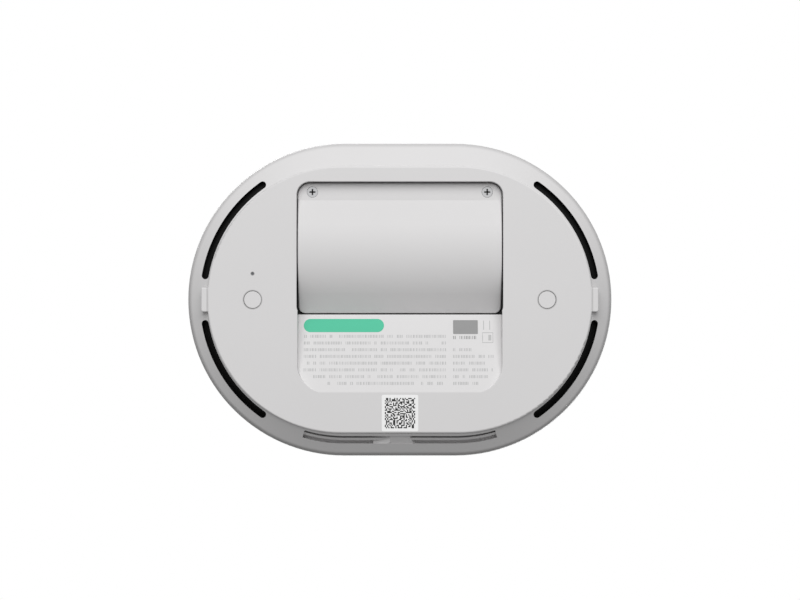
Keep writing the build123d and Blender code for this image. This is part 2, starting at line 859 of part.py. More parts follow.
def basket():
    """Pressed frame: square flange, throat, spider shelf and back, with windows between its legs."""
    flange = extrude(RectangleRounded(2 * driver_half, 2 * driver_half, driver_corner), driver_flange)
    flange -= Cylinder(basket_throat, 4 * driver_flange)
    for x, y in corners(driver_screw_pitch, driver_screw_pitch):
        flange -= rod(x, y, -1, driver_flange + 1, small_screw_radius + trim_gap)
    w = basket_wall
    bowl = turned((basket_throat, 0), (basket_throat, -basket_collar), (basket_shelf_radius, basket_shelf_z),
                  (basket_back_radius, basket_shelf_z), (basket_back_radius, basket_back_z + w),
                  (coil_radius + 1.5, basket_back_z + w), (coil_radius + 1.5, basket_back_z),
                  (basket_back_radius + w, basket_back_z), (basket_back_radius + w, basket_shelf_z - w),
                  (basket_shelf_radius + w, basket_shelf_z - w), (basket_throat + w, -basket_collar),
                  (basket_throat + w, 0))
    reach, height = basket_throat * 2, -basket_shelf_z - basket_collar - w
    window = Box(reach, window_width, height, align=(Align.MIN, Align.CENTER, Align.MIN))
    for i in range(basket_windows):
        place = Pos(basket_shelf_radius + 0.4, 0, basket_shelf_z + w)
        bowl -= Rot(0, 0, 45 + i * 360 / basket_windows) * place * window
    return front_facing(flange + bowl)


def top_plate():
    z = basket_back_z
    inner = coil_radius + coil_thickness + coil_gap
    return front_facing(turned((inner, z), (top_plate_radius, z), (top_plate_radius, z - top_plate_thickness),
                               (inner, z - top_plate_thickness)))


def magnet_ring():
    high = basket_back_z - top_plate_thickness
    low = high - magnet_thickness
    points = (magnet_inner, low), (magnet_outer, low), (magnet_outer, high), (magnet_inner, high)
    return front_facing(turned(*points, rounds=[(point, magnet_round) for point in points[1:3]]))


def yoke():
    high = basket_back_z - top_plate_thickness - magnet_thickness
    low = high - yoke_thickness
    return front_facing(turned((0, low), (yoke_radius, low), (yoke_radius, high), (pole_radius, high),
                               (pole_radius, basket_back_z), (0, basket_back_z)))


def voice_coil():
    outer = coil_radius + coil_thickness
    return front_facing(turned((coil_radius, coil_back), (outer, coil_back), (outer, cone_neck_z),
                               (coil_radius, cone_neck_z)))


def cone():
    t = cone_thickness
    inner = coil_radius
    return front_facing(turned((inner, cone_neck_z), (inner + t, cone_neck_z), (cone_edge, driver_flange - t),
                               (cone_edge, driver_flange), (inner, cone_neck_z + t)))


def dust_cap():
    """Dome glued on the cone, a shell between two arcs."""
    slope = (driver_flange - cone_neck_z - cone_thickness) / (cone_edge - coil_radius)
    rim = cone_neck_z + cone_thickness + (cap_radius - coil_radius) * slope
    t = cone_thickness
    dome_radius = (cap_radius ** 2 + cap_rise ** 2) / (2 * cap_rise)
    centre = rim + cap_rise - dome_radius
    ball = Pos(0, 0, centre) * Sphere(dome_radius) - Pos(0, 0, centre) * Sphere(dome_radius - t)
    return front_facing(ball & rod(0, 0, rim, rim + cap_rise + 1, cap_radius + 1))


def half_roll(inner, outer, low, thickness, lip):
    """Profile of a surround: an inner edge, a half round roll and a flat outer lip."""
    middle, rise = (inner + outer) / 2, (outer - inner) / 2
    t = thickness
    edge = inner - 2 * t
    return make_face(
        Polyline((edge, low + t), (edge, low), (inner, low))
        + ThreePointArc((inner, low), (middle, low + rise), (outer, low))
        + Polyline((outer, low), (lip, low), (lip, low + t), (outer + t, low + t))
        + ThreePointArc((outer + t, low + t), (middle, low + rise + t), (inner - t, low + t))
        + Line((inner - t, low + t), (edge, low + t)))


def surround():
    profile = half_roll(cone_edge + moving_gap + 2 * surround_thickness, roll_outer, driver_flange,
                        surround_thickness, surround_lip)
    return front_facing(revolve(Plane.XZ * profile, Axis.Z))


def spider():
    """Corrugated disc between the basket's shelf and the coil."""
    inner = coil_radius + coil_thickness + moving_gap + 0.1
    outer = basket_shelf_radius - 0.2
    low, t = basket_shelf_z, 0.4
    step = (basket_back_radius - inner) / (2 * spider_waves)
    lower = [(inner + i * step, low + (spider_rise if i % 2 else 0)) for i in range(2 * spider_waves + 1)]
    upper = [(r, z + t) for r, z in reversed(lower)]
    return front_facing(turned(*lower, (outer, low), (outer, low + t), *upper))


def driver_screws():
    places = corners(driver_screw_pitch, driver_screw_pitch)
    return [front_facing(small_screw(x, y, driver_flange)) for x, y in places]


# Passive radiator

def radiator_frame():
    face = RectangleRounded(2 * radiator_half_width, 2 * radiator_half_height, radiator_corner)
    frame = extrude(face, radiator_flange) - slab(radiator_span, radiator_opening, -1, radiator_flange + 1)
    for x, y in corners(*radiator_screw):
        frame -= rod(x, y, -1, radiator_flange + 1, small_screw_radius + trim_gap)
    return rear_facing(frame)


def radiator_surround():
    t = surround_thickness
    profile = half_roll(radiator_plate + moving_gap + 2 * t, radiator_opening - t, radiator_flange, t,
                        radiator_opening + 2)
    return rear_facing(race(profile, radiator_span))


def radiator_diaphragm():
    high = radiator_flange + surround_thickness
    plate = slab(radiator_span, radiator_plate, high - radiator_plate_thickness, high)
    plate = fillet(plate.edges().group_by(Axis.Z)[-1], 0.5)
    return rear_facing(plate)


def radiator_weight():
    high = radiator_flange - radiator_plate_thickness + surround_thickness
    return rear_facing(slab(weight_span, weight_radius, high - weight_thickness, high))


def radiator_screws():
    return [rear_facing(small_screw(x, y, radiator_flange)) for x, y in corners(*radiator_screw)]


# Grille frame, sleeve and antennas

def grille_windows():
    low, high = shell_top + window_margin, box_top - window_margin
    size = (4 * grille_wall, window_gap, high - low)
    middle = Pos(grille_radius, 0, (low + high) / 2) * Box(*size)
    for i in range(window_count_end):
        turn = Rot(0, 0, -90 + (i + 0.5) * 180 / window_count_end)
        yield Pos(body_span / 2, 0, 0) * turn * middle
        yield Pos(-body_span / 2, 0, 0) * Rot(0, 0, 180) * turn * middle
    for i in range(window_count_side):
        x = -body_span / 2 + (i + 0.5) * body_span / window_count_side
        for side in (90, -90):
            yield Pos(x, 0, 0) * Rot(0, 0, side) * middle


def grille_frame():
    wall_face = outline((grille_inner, shell_top), (grille_radius, shell_top), (grille_radius, box_top),
                        (grille_inner, box_top))
    return race(wall_face, body_span) - list(grille_windows())


def fabric_sleeve():
    low, high, outer = shell_top + sleeve_edge, box_top - sleeve_edge, body_radius - trim_gap
    return race(outline((grille_radius, low), (outer, low), (outer, high), (grille_radius, high),
                        rounds=[((outer, low), sleeve_round), ((outer, high), sleeve_round)]), body_span)


def antennas():
    r = box_radius
    strip = outline((r, antenna_z), (r + antenna_thickness, antenna_z),
                    (r + antenna_thickness, antenna_z + antenna_height), (r, antenna_z + antenna_height))
    right = revolve(Plane.XZ * strip, Axis.Z, antenna_turn)
    right = Pos(body_span / 2, 0, 0) * Rot(0, 0, -antenna_turn / 2) * right
    return [right, mirror(right, Plane.YZ)]


# Top cap

def top_cap():
    r, h = body_radius, body_height
    groove_in, groove_out = ring_inner - trim_gap, ring_outer + trim_gap
    profile = outline(
        (0, cap_inside), (body_inner - cap_shoulder, cap_inside), (body_inner, cap_inside - cap_shoulder),
        (body_inner, box_top),
        (r, box_top), (r, h), (groove_out, h), (groove_out, h - ring_depth), (groove_in, h - ring_depth),
        (groove_in, h), (dish_radius, h), (dish_radius - dish_slope, dish_z), (0, dish_z),
        rounds=[((r, h), cap_round)])
    cap = race(profile, body_span)
    for x, y in light_places():
        cap -= rod(x, y, cap_inside - 1, h, light_hole)
    for x, y in top_button_places().values():
        cap -= rod(x, y, cap_inside - 1, h, top_button_radius + button_fit)
    for x, y in corners(mic_x, mic_y):
        cap -= rod(x, y, cap_inside - 1, h, mic_hole)
    shoulder = top_board_z + top_board_thickness
    for x, y in corners(stack_x, stack_y):
        cap += rod(x, y, shoulder, cap_inside, post_shoulder) + rod(x, y, box_top, shoulder, post_neck)
        cap -= rod(x, y, box_top, stack_end, stack_radius)
    return cap


def light_places():
    """Evenly spaced points along the middle line of the light ring."""
    radius = (ring_inner + ring_outer) / 2
    bend = pi * radius
    pitch = 2 * (bend + body_span) / light_count
    for i in range(light_count):
        along = (i + 0.5) * pitch
        lap, rest = divmod(along, bend + body_span)
        sign = -1 if lap else 1
        if rest < bend:
            turn = rest / radius - radians(90)
            yield sign * (body_span / 2 + radius * cos(turn)), sign * radius * sin(turn)
        else:
            yield sign * (body_span / 2 - (rest - bend)), sign * radius


def light_ring():
    low, high = body_height - ring_depth, body_height
    face = outline((ring_inner, low), (ring_outer, low), (ring_outer, high), (ring_inner, high))
    return race(face, body_span)


def top_button_places():
    reach = top_button_reach
    return {"volume_up_button": (reach, 0), "volume_down_button": (-reach, 0),
            "action_button": (0, -reach), "mute_button": (0, reach)}


def top_button(x, y):
    flange_high = cap_inside - moving_gap
    flange_low = flange_high - top_flange_thickness
    body = rod(x, y, flange_low, dish_z + top_button_proud, top_button_radius)
    body += rod(x, y, flange_low, flange_high, top_button_flange)
    return fillet(body.edges().group_by(Axis.Z)[-1], 0.4)


def top_switches():
    low = top_board_z + top_board_thickness
    size = (switch_size, switch_size, top_switch_height)
    return [chip(x, y, low, size) + rod(x, y, low, low + top_switch_height + top_nub_height, nub_radius)
            for x, y in top_button_places().values()]


def top_board():
    board = slab(body_span, top_board_radius, top_board_z, top_board_z + top_board_thickness)
    for x, y in corners(stack_x, stack_y):
        board -= rod(x, y, 0, body_height, post_neck + trim_gap)
    return board


def microphones():
    return [chip(x, y, top_board_z + top_board_thickness, mic_size) for x, y in corners(mic_x, mic_y)]


def mic_gaskets():
    low = top_board_z + top_board_thickness + mic_size[2]
    return [rod(x, y, low, cap_inside, mic_gasket_radius) - rod(x, y, low, cap_inside, mic_hole)
            for x, y in corners(mic_x, mic_y)]


def ring_lights():
    return [chip(x, y, top_board_z + top_board_thickness, light_size) for x, y in light_places()]


def all_nodes():
    nodes = {
        "base_plate": base_plate(), "lower_shell": lower_shell(), "slot_meshes": slot_meshes(),
        "battery_door": battery_door(), "door_screws": door_screws(), "cell_pad": cell_pad(),
        "battery_tray": battery_tray(), "battery_cells": battery_cells(),
        "battery_contacts": battery_contacts(),
        "pairing_button": plate_button(-button_x), "reset_button": plate_button(button_x),
        "pairing_switch": plate_switch(-button_x), "reset_switch": plate_switch(button_x),
        "left_button_board": side_board(-1), "right_button_board": side_board(1),
        "button_board_screws": side_board_screws(), "light_pipe": light_pipe(),
        "status_led": chip(-button_x, lamp_y, side_board_z - light_size[2], light_size),
        "main_board": main_board(), "main_board_screws": main_board_screws(), "power_inlet": power_inlet(),
        "shield_can": shield_can(), "heat_sink": heat_sink(), "board_connectors": board_connectors(),
        "speaker_box": speaker_box(), "box_gasket": box_gasket(), "box_lid": box_lid(),
        "stack_screws": stack_screws(), "driver_basket": basket(), "driver_top_plate": top_plate(),
        "driver_magnet": magnet_ring(), "driver_yoke": yoke(), "voice_coil": voice_coil(),
        "driver_cone": cone(), "dust_cap": dust_cap(), "driver_surround": surround(),
        "driver_spider": spider(),
        "driver_screws": driver_screws(), "radiator_frame": radiator_frame(),
        "radiator_surround": radiator_surround(), "radiator_diaphragm": radiator_diaphragm(),
        "radiator_weight": radiator_weight(), "radiator_screws": radiator_screws(),
        "grille_frame": grille_frame(), "fabric_sleeve": fabric_sleeve(), "wifi_antennas": antennas(),
        "top_cap": top_cap(), "light_ring": light_ring(), "top_board": top_board(),
        "top_switches": top_switches(), "microphones": microphones(), "mic_gaskets": mic_gaskets(),
        "ring_lights": ring_lights()}
    for name, (x, y) in top_button_places().items():
        nodes[name] = top_button(x, y)
    return nodes


os.makedirs("parts", exist_ok=True)
for name, piece in all_nodes().items():
    export_step(Compound(children=piece) if isinstance(piece, list) else piece, f"parts/{name}.step")
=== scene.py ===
"""Looks of a smart speaker with a stadium footprint: its finishes, fabric sleeve, prints, stage and lights.

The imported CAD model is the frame. Most of its nodes stay and get a material. The fabric sleeve is a new surface that
stands for its node, and the prints and icons are thin surfaces laid on the nodes that carry them.
"""

import bpy
import numpy as np
from bpy.props import FloatProperty, FloatVectorProperty, IntProperty, PointerProperty
from mathutils import Matrix, Vector
from mathutils.bvhtree import BVHTree


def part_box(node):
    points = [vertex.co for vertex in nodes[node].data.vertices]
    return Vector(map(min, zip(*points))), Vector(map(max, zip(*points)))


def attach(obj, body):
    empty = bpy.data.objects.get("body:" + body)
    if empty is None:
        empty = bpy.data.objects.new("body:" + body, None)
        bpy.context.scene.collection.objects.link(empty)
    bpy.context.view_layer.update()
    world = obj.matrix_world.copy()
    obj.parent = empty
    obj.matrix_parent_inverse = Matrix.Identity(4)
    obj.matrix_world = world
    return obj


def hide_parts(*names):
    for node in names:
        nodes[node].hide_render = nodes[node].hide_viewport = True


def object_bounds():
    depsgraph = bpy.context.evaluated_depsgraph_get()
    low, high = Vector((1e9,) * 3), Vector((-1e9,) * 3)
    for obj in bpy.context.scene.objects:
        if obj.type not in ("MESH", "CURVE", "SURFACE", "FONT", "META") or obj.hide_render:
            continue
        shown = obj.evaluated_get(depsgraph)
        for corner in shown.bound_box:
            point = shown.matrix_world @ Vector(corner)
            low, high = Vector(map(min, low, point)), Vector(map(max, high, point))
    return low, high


bl_info = {
    "name": "Smart speaker looks",
    "version": (1, 0, 0),
    "blender": (4, 5, 0),
    "location": "View3D > Sidebar > Speaker",
    "description": "Finishes, sleeve, prints and stage of a smart speaker",
    "category": "Object",
}

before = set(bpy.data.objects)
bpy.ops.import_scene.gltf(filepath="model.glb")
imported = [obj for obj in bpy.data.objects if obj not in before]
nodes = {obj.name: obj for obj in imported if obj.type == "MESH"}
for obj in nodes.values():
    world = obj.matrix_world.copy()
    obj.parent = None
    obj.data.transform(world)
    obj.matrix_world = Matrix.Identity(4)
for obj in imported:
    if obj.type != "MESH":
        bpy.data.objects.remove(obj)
cad_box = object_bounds()

MM = 0.001
PRINT_LIFT = 0.03 * MM      # how far a print stands off its surface
PROBE = -0.1                # height from which a ray goes up to find the underside
HOME = "housing"            # the body that carries everything that doesn't move
SENSOR = 36.0               # millimetres across the camera's sensor
AIM = (0.06 * MM, 0.13 * MM)                # point of the underside that the camera looks at
UPPER_KEY = Vector((-0.24, -0.30, 0.92))    # towards the two lights over the object
UPPER_FILL = Vector((0.28, 0.27, 0.92))

FLOOR_GAP = 0.4 * MM        # between the object and the floor under it
FLOOR_RINGS = (0.001, 0.3, 1.0)             # radii of the floor's rings, as shares of its own
FLOOR_STEPS = 96

# Colours that belong to no setting
SLOT_AND_SEAM_SHADE = (0.012, 0.012, 0.012, 1.0)           # painted shade, near black, on the walls of a slot or a seam
SHADE_KEEPS = 0.60               # how much of its lightness plastic keeps under painted shade
# Painted shade, black, in a door screw's cross recess and round the side of its head.
SCREW_RECESS_SHADE = (0.01, 0.01, 0.01, 1.0)

# Places on the CAD nodes that the finishes follow, and how strong some of them are
TONGUE = 2.3 * MM           # length of the plate's snap tongues
TONGUE_HALF = 4.5 * MM
BUTTON_EDGE = 3.35 * MM     # radius of the plate's holes for its buttons
BUTTON_SHADE_REACH = 0.5 * MM     # how far round them shade is painted on the plate
ROOT_LINE_HALF = 0.4 * MM     # half the width of the line across a tongue's root
ROOT_LINE_SHARE = 0.8         # its strength beside the painted shade round the buttons
SEAM = 0.45 * MM            # from the door's side to just inside the well's wall
FACE = 0.35 * MM            # height over the plate's face where a well's wall starts
WELL_SHADE = (-14 * MM, -6 * MM)            # places along the well between which the painted shade on its wall comes in
RIM_START = (8.4 * MM, 9.6 * MM)            # heights between which the painted shade on the rim comes in
RIM_END = (11.3 * MM, 12.8 * MM)            # and goes out again
RIM_FRONT = 0.33            # its share at the front
REAR = 55 * MM              # from the middle to near the rear or the front
SLOT_MIDDLE = 2.8 * MM      # from the plate's edge to the middle of the slots
SLOT_HALF = 1.5 * MM
SLOT_RISE = 1.2 * MM        # height of their walls over a 45 degree line from the plate's edge
SLOT_FROM = 22 * MM         # from the end circles' centres, outwards
SLOT_GAP = 7 * MM           # half the gap between the slots, at a tongue
RECESS = (0.12 * MM, 1.05 * MM)             # heights of a door screw's cross recess over its face, between which shade is painted

# Sleeve: steps round it, round a hem, up its outer face and down its inner one, and how its face draws in at a hem
SLEEVE_STEPS, HEM_STEPS, OUTER_STEPS, INNER_STEPS = 720, 8, 44, 4
HEM_DEPTH, HEM_REACH = 0.12 * MM, 1.2 * MM

# The rest of the sizes are in millimetres in the underside's plan. Prints in the scoop, by their corners
PILL = (-36.1, 7.25, -5.95, 12.2)
PATCH = (20.0, 7.7, 29.3, 12.9)
PATCH_FOOT = (14.2, 1.2)    # middle and height of the row under the patch
SIDE_BOX = (31.0, 12.4, 34.9, 16.1)
SIDE_BOX_END = 14.0         # where on its left side the box's line starts and ends
SIDE_BARS = ((33.2, 31.3, 33.6), (13.2, 7.9, 7.9), (1.1, 0.3, 0.3), (2.1, 3.4, 3.4))    # x, y, widths, heights
THIN_LINE = 0.3
SIDE_LEFT = 19.9            # left edge of the short rows, and their lengths
SIDE_ROWS = (7.2, 16.0, 12.4, 15.0, 14.5, 11.0)
LAST_INDENTS = (2.4, 9.0)   # how far the last long rows stand in
SCOOP_FLOOR = (12.0, 30.0)  # two places along the sloped floor, from which its slope is measured

# Fine print: distance between strokes, their widths, and the share of pairs that are left out
STROKE_PITCH, STROKE_WIDTHS, STROKES_OUT = 0.6, (0.14, 0.40), 0.14

# Icons and the ring round the light hole
ICON_LINE = 0.55
BAR_HALF = 2.2              # half the length of the plus and the minus
MUTE_RADIUS, MUTE_HALF = 2.1, 1.3           # ring, and half the reach of the line across it
DOT_RADIUS, DOT_WIDTH = 0.55, 1.0           # a ring so small that its line fills it
STATUS_RADIUS, STATUS_WIDTH = 0.62, 0.24
BESIDE_STATUS = 2.0         # from the hole to plain plate


# Shader arithmetic


class Wire:
    """A socket of a node tree that takes part in Python arithmetic. Each operator adds one Math node."""

    def __init__(self, shade, socket):
        self.shade, self.socket = shade, socket

    def math(self, operation, *values):
        return self.shade.node("Math", {"operation": operation}, dict(enumerate(values)))

    def __add__(self, other):
        return self.math("ADD", self, other)

    def __mul__(self, other):
        return self.math("MULTIPLY", self, other)

    def __sub__(self, other):
        return self.math("SUBTRACT", self, other)

    def __rsub__(self, other):
        return self.math("SUBTRACT", other, self)

    def __truediv__(self, other):
        return self.math("DIVIDE", self, other)

    def __abs__(self):
        return self.math("ABSOLUTE", self)

    def __mod__(self, other):
        return self.math("FLOORED_MODULO", self, other)

    def __pow__(self, other):
        return self.math("POWER", self, other)

    def __gt__(self, other):
        return self.math("GREATER_THAN", self, other)

    def __lt__(self, other):
        return self.math("LESS_THAN", self, other)

    __radd__ = __add__

    def sin(self):
        return self.math("SINE", self)

    def floor(self):
        return self.math("FLOOR", self)

    def most(self, other):
        return self.math("MAXIMUM", self, other)

    def least(self, other):
        return self.math("MINIMUM", self, other)

    def clamp(self):
        return self.most(0.0).least(1.0)

    def ramp(self, start, end):
        """0 up to start, 1 from end on, and even between them."""
        return ((self - start) / (end - start)).clamp()


class Shade:
    """A node tree being built: one method adds any node, the rest are the few patterns this object needs."""

    def __init__(self, owner):
        owner.use_nodes = True
        self.tree = owner.node_tree
        self.tree.nodes.clear()

    def node(self, kind, settings=None, inputs=None, output=0):
        """Adds a shader node, with its settings set first and then its sockets."""
        made = self.tree.nodes.new("ShaderNode" + kind)
        for key, value in (settings or {}).items():
            setattr(made, key, value)
        for key, value in (inputs or {}).items():
            if isinstance(value, Wire):
                self.tree.links.new(value.socket, made.inputs[key])
            else:
                made.inputs[key].default_value = value
        return Wire(self, made.outputs[output])

    def place(self):
        """Object coordinates, in metres in the row's frame."""
        return self.node("TexCoord", output="Object")

    def axes(self, wanted="XYZ", vector=None):
        """The named axes of a vector, or of the object coordinates."""
        return [self.node("SeparateXYZ", inputs={0: vector or self.place()}, output=axis) for axis in wanted]

    def noise(self, scale, detail=2.0, roughness=0.5, vector=None):
        """Noise between about 0 and 1, scale features to the metre."""
        return self.node("TexNoise", inputs={
            "Vector": vector or self.place(), "Scale": scale, "Detail": detail, "Roughness": roughness})

    def mix(self, factor, first, second):
        """Colour between two colours."""
        return self.node("Mix", {"data_type": "RGBA"}, {0: factor, 6: first, 7: second}, output=2)

    def bump(self, height, depth, strength=1.0):
        """Normal of a height between 0 and 1 that stands depth metres high."""
        return self.node("Bump", inputs={"Strength": strength, "Distance": depth, "Height": height})

    def surface(self, **inputs):
        """The Principled surface, with sockets named in words joined by underscores, and the output."""
        named = {key.replace("_", " "): value for key, value in inputs.items()}
        shader = self.node("BsdfPrincipled", inputs=named, output="BSDF")
        self.node_output(shader)

    def node_output(self, shader, kind="OutputMaterial"):
        out = self.tree.nodes.new("ShaderNode" + kind)
        self.tree.links.new(shader.socket, out.inputs["Surface"])


def colour(rgb, factor=1.0):
    return tuple(min(1.0, c * factor) for c in rgb[:3]) + (1.0,)


def new_material(name):
    material = bpy.data.materials.new(name)
    return material, Shade(material)


# Materials


def moulded_plastic(name, rgb, roughness=0.45, grain=0.012 * MM, gloss=0.25, dark=None, edge_shade=None):
    """Moulded plastic: a fine spark-eroded grain, a faint cloud in the colour and uneven sheen. The two masks, if
    given, take the shade and return where shade is painted: the first near-black shade on the walls of a slot or a
    seam, the second a lighter shade along an edge."""
    material, shade = new_material(name)
    cloud = shade.noise(35.0, 3.0)
    fine = shade.noise(5200.0, 2.0, 0.6)
    speck = shade.noise(1500.0, 2.0)
    base = shade.mix(cloud * 0.7 + fine * 0.3, colour(rgb, 0.98), colour(rgb, 1.02))
    # Painted shade: a lighter shade along edges, round the plate's buttons and on the shell's rim.
    if edge_shade:
        base = shade.mix(edge_shade(shade) * (0.8 + cloud * 0.4), base, colour(rgb, SHADE_KEEPS))
    # Painted shade: near black on the walls of slots and seams, where shade falls.
    if dark:
        base = shade.mix(dark(shade), base, SLOT_AND_SEAM_SHADE)
    shade.surface(Base_Color=base, Roughness=roughness - 0.05 + speck * 0.1, Specular_IOR_Level=gloss,
                  Normal=shade.bump(fine, grain, 0.6))
    return material


def acoustic_mesh(rgb, pitch=0.42 * MM):
    """Black woven mesh: holes on a diamond grid between round threads."""
    material, shade = new_material("acoustic mesh")
    x, y = shade.axes("XY")
    turn = np.pi / pitch * np.sqrt(0.5)
    one = abs(((x + y) * turn).sin())
    two = abs(((x - y) * turn).sin())
    thread = one.most(two)
    # Painted shade: the mesh is darker between its threads, towards the holes.
    shade.surface(Base_Color=shade.mix(thread ** 3.0, colour(rgb, 0.25), colour(rgb)),
                  Roughness=0.85 - thread * 0.25, Specular_IOR_Level=0.1, Normal=shade.bump(thread, 0.1 * MM))
    return material


def speaker_cloth(rgb_light, rgb_dark, pitch, seam):
    """Plain weave of two melange yarns on the sleeve's own UV map, in metres along and up. At seam along it, the
    cloth's two ends meet in a welded line that is pressed in."""
    material, shade = new_material("speaker cloth")
    uv = shade.node("UVMap", {"uv_map": "UVMap"})
    u, v = shade.axes("XY", uv)
    column, row = (u / pitch).floor(), (v / pitch).floor()
    over = ((column + row) % 2.0) > 0.5
    in_u, in_v = (u / pitch) - column, (v / pitch) - row
    across, up = (in_u * np.pi).sin(), (in_v * np.pi).sin()
    weft = up * (0.55 + across * 0.45)
    warp = across * (0.55 + up * 0.45)
    height = over * weft + (1.0 - over) * warp
    threads = shade.node("CombineXYZ", inputs={0: u * (1.0 - over) + column * pitch * over,
                                               1: v * over + row * pitch * (1.0 - over), 2: over * 0.1})
    melange = shade.noise(900.0, 3.0, 0.7, threads)
    fibre = shade.noise(6000.0, 2.0, 0.6, uv)
    blend = ((melange - 0.5) * 2.4 + 0.5 + (fibre - 0.5) * 0.5).clamp()
    yarn = shade.mix(blend, colour(rgb_dark), colour(rgb_light))
    pressed = 1.0 - abs(u - seam).ramp(0.2 * MM, 0.7 * MM)
    # Painted shade: the yarn darkens towards the dips between threads, and more in the pressed seam.
    shaded = shade.mix((height ** 0.6) * (1.0 - pressed * 0.35), colour(rgb_dark, 0.35), yarn)
    shade.surface(Base_Color=shaded, Roughness=0.92, Sheen_Weight=0.25, Sheen_Roughness=0.5,
                  Normal=shade.bump((height + fibre * 0.25) * (1.0 - pressed) - pressed, 0.22 * MM))
    return material


def metal(name, rgb, roughness, dark_zone=None):
    """Turned or rolled metal: long faint scratches and uneven polish. Between the two heights of dark_zone it gets
    painted shade, black and not metallic, as in the recess of a head that looks down."""
    material, shade = new_material(name)
    stretched = shade.node("Mapping", {"vector_type": "POINT"}, {"Vector": shade.place(), "Scale": (1.0, 1.0, 14.0)})
    scratch = shade.noise(2600.0, 3.0, 0.7, stretched)
    patch = shade.noise(300.0, 2.0)
    base = shade.mix(patch, colour(rgb, 0.93), colour(rgb, 1.05))
    bare = 1.0
    # Painted shade: black and not metallic between the two heights.
    if dark_zone:
        (height,) = shade.axes("Z")
        bare = 1.0 - (height > dark_zone[0]) * (height < dark_zone[1])
        base = shade.mix(bare, SCREW_RECESS_SHADE, base)
    shade.surface(Base_Color=base, Metallic=bare, Roughness=roughness - 0.06 + patch * 0.12,
                  Specular_IOR_Level=0.05, Normal=shade.bump(scratch, 0.004 * MM, 0.25))
    return material


def solder_board(rgb):
    """Circuit board: tracks as ridges under the mask, with small tinned pads."""
    material, shade = new_material("circuit board")
    place = shade.place()
    x, y = shade.axes("XY", place)
    cell = shade.node("TexVoronoi", {"distance": "MANHATTAN"}, {"Vector": place, "Scale": 420.0})
    wander = shade.noise(160.0, 0.0, 0.5)
    wave = 2600.0               # radians to the metre, which is a track every 1.2 mm
    track = abs(((x + y + wander * 0.004) * wave).sin()) > 0.86
    pad = cell < 0.2
    base = shade.mix(track * 0.6, colour(rgb), colour(rgb, 1.9))
    base = shade.mix(pad, base, (0.72, 0.70, 0.62, 1.0))
    shade.surface(Base_Color=base, Roughness=0.32 + wander * 0.1, Metallic=pad * 0.9, Coat_Weight=0.2,
                  Normal=shade.bump(track.most(pad), 0.03 * MM))
    return material


def rubber(name, rgb, roughness=0.6):
    """Soft rubber or foam: open fine grain."""
    material, shade = new_material(name)
    grain = shade.noise(2400.0, 4.0, 0.7)
    shade.surface(Base_Color=shade.mix(grain, colour(rgb, 0.8), colour(rgb, 1.25)),
                  Roughness=roughness + grain * 0.15, Normal=shade.bump(grain, 0.03 * MM, 0.7))
    return material


def pulp(rgb):
    """Pressed pulp cone: short fibres and faint rings."""
    material, shade = new_material("pressed pulp")
    fibre = shade.noise(1800.0, 5.0, 0.75)
    shade.surface(Base_Color=shade.mix(fibre, colour(rgb, 0.7), colour(rgb, 1.6)), Roughness=0.85,
                  Normal=shade.bump(fibre, 0.06 * MM))
    return material


def printed(name, rgb, roughness=0.5):
    """Ink: a little uneven, with the moulding's grain showing through."""
    material, shade = new_material(name)
    grain = shade.noise(4200.0, 2.0, 0.6)
    shade.surface(Base_Color=shade.mix(grain, colour(rgb, 0.93), colour(rgb, 1.07)),
                  Roughness=roughness + grain * 0.08, Specular_IOR_Level=0.25,
                  Normal=shade.bump(grain, 0.006 * MM, 0.5))
    return material


def milky(name, rgb, glow=0.0):
    """Milky diffuser, a little light from inside."""
    material, shade = new_material(name)
    cloud = shade.noise(260.0, 2.0)
    tint = shade.mix(cloud, colour(rgb, 0.97), colour(rgb, 1.03))
    shade.surface(Base_Color=tint, Roughness=0.32 + cloud * 0.06, Emission_Color=tint, Emission_Strength=glow,
                  Subsurface_Weight=0.2, Subsurface_Scale=0.5 * MM, Normal=shade.bump(cloud, 0.005 * MM, 0.4))
    return material


def cell_wrap(rgb):
    """Shrink wrap of a cell: glossy film with faint wrinkles, a pale ring and bare metal at the ends."""
    material, shade = new_material("cell wrap")
    (x,) = shade.axes("X")
    low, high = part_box("battery_cells")
    cap, ring_width = 0.9 * MM, 2.4 * MM
    end = (high[0] - low[0]) / 2 - cap
    reach = abs(x)
    metal_end = reach > end
    ring = (reach > end - ring_width) * (1.0 - metal_end)
    wrinkle = shade.noise(420.0, 3.0)
    base = shade.mix(ring, colour(rgb), (0.86, 0.86, 0.84, 1.0))
    base = shade.mix(metal_end, base, (0.70, 0.69, 0.66, 1.0))
    shade.surface(Base_Color=base, Metallic=metal_end, Roughness=0.22 + wrinkle * 0.12,
                  Normal=shade.bump(wrinkle, 0.05 * MM, 0.5))
    return material


def wound_copper():
    """Fine enamelled wire wound in turns along the coil."""
    material, shade = new_material("wound copper")
    (y,) = shade.axes("Y")
    wire = 0.25 * MM
    turns = abs((y * (np.pi / wire)).sin())
    # Painted shade: the copper darkens in the grooves between turns.
    shade.surface(Base_Color=shade.mix(turns, (0.25, 0.09, 0.03, 1.0), (0.78, 0.38, 0.18, 1.0)),
                  Metallic=0.9, Roughness=0.3 + turns * 0.1, Normal=shade.bump(turns, 0.08 * MM))
    return material


# Surfaces


def stadium(along, radius, span):
    """Points and outward directions at distances along a stadium, anticlockwise from the foot of its right end.
    Round an end the angle is distance over radius, and along a side the point runs straight back."""
    bend = np.pi * radius
    half, rest = np.divmod(np.mod(along, 2 * (bend + span)), bend + span)
    sign = 1 - 2 * half
    turn = np.minimum(rest, bend) / radius - np.pi / 2
    run = np.maximum(rest - bend, 0)
    direction = np.stack([sign * np.cos(turn), sign * np.sin(turn)], -1)
    point = np.stack([sign * (span / 2 + radius * np.cos(turn) - run), sign * radius * np.sin(turn)], -1)
    return point, direction


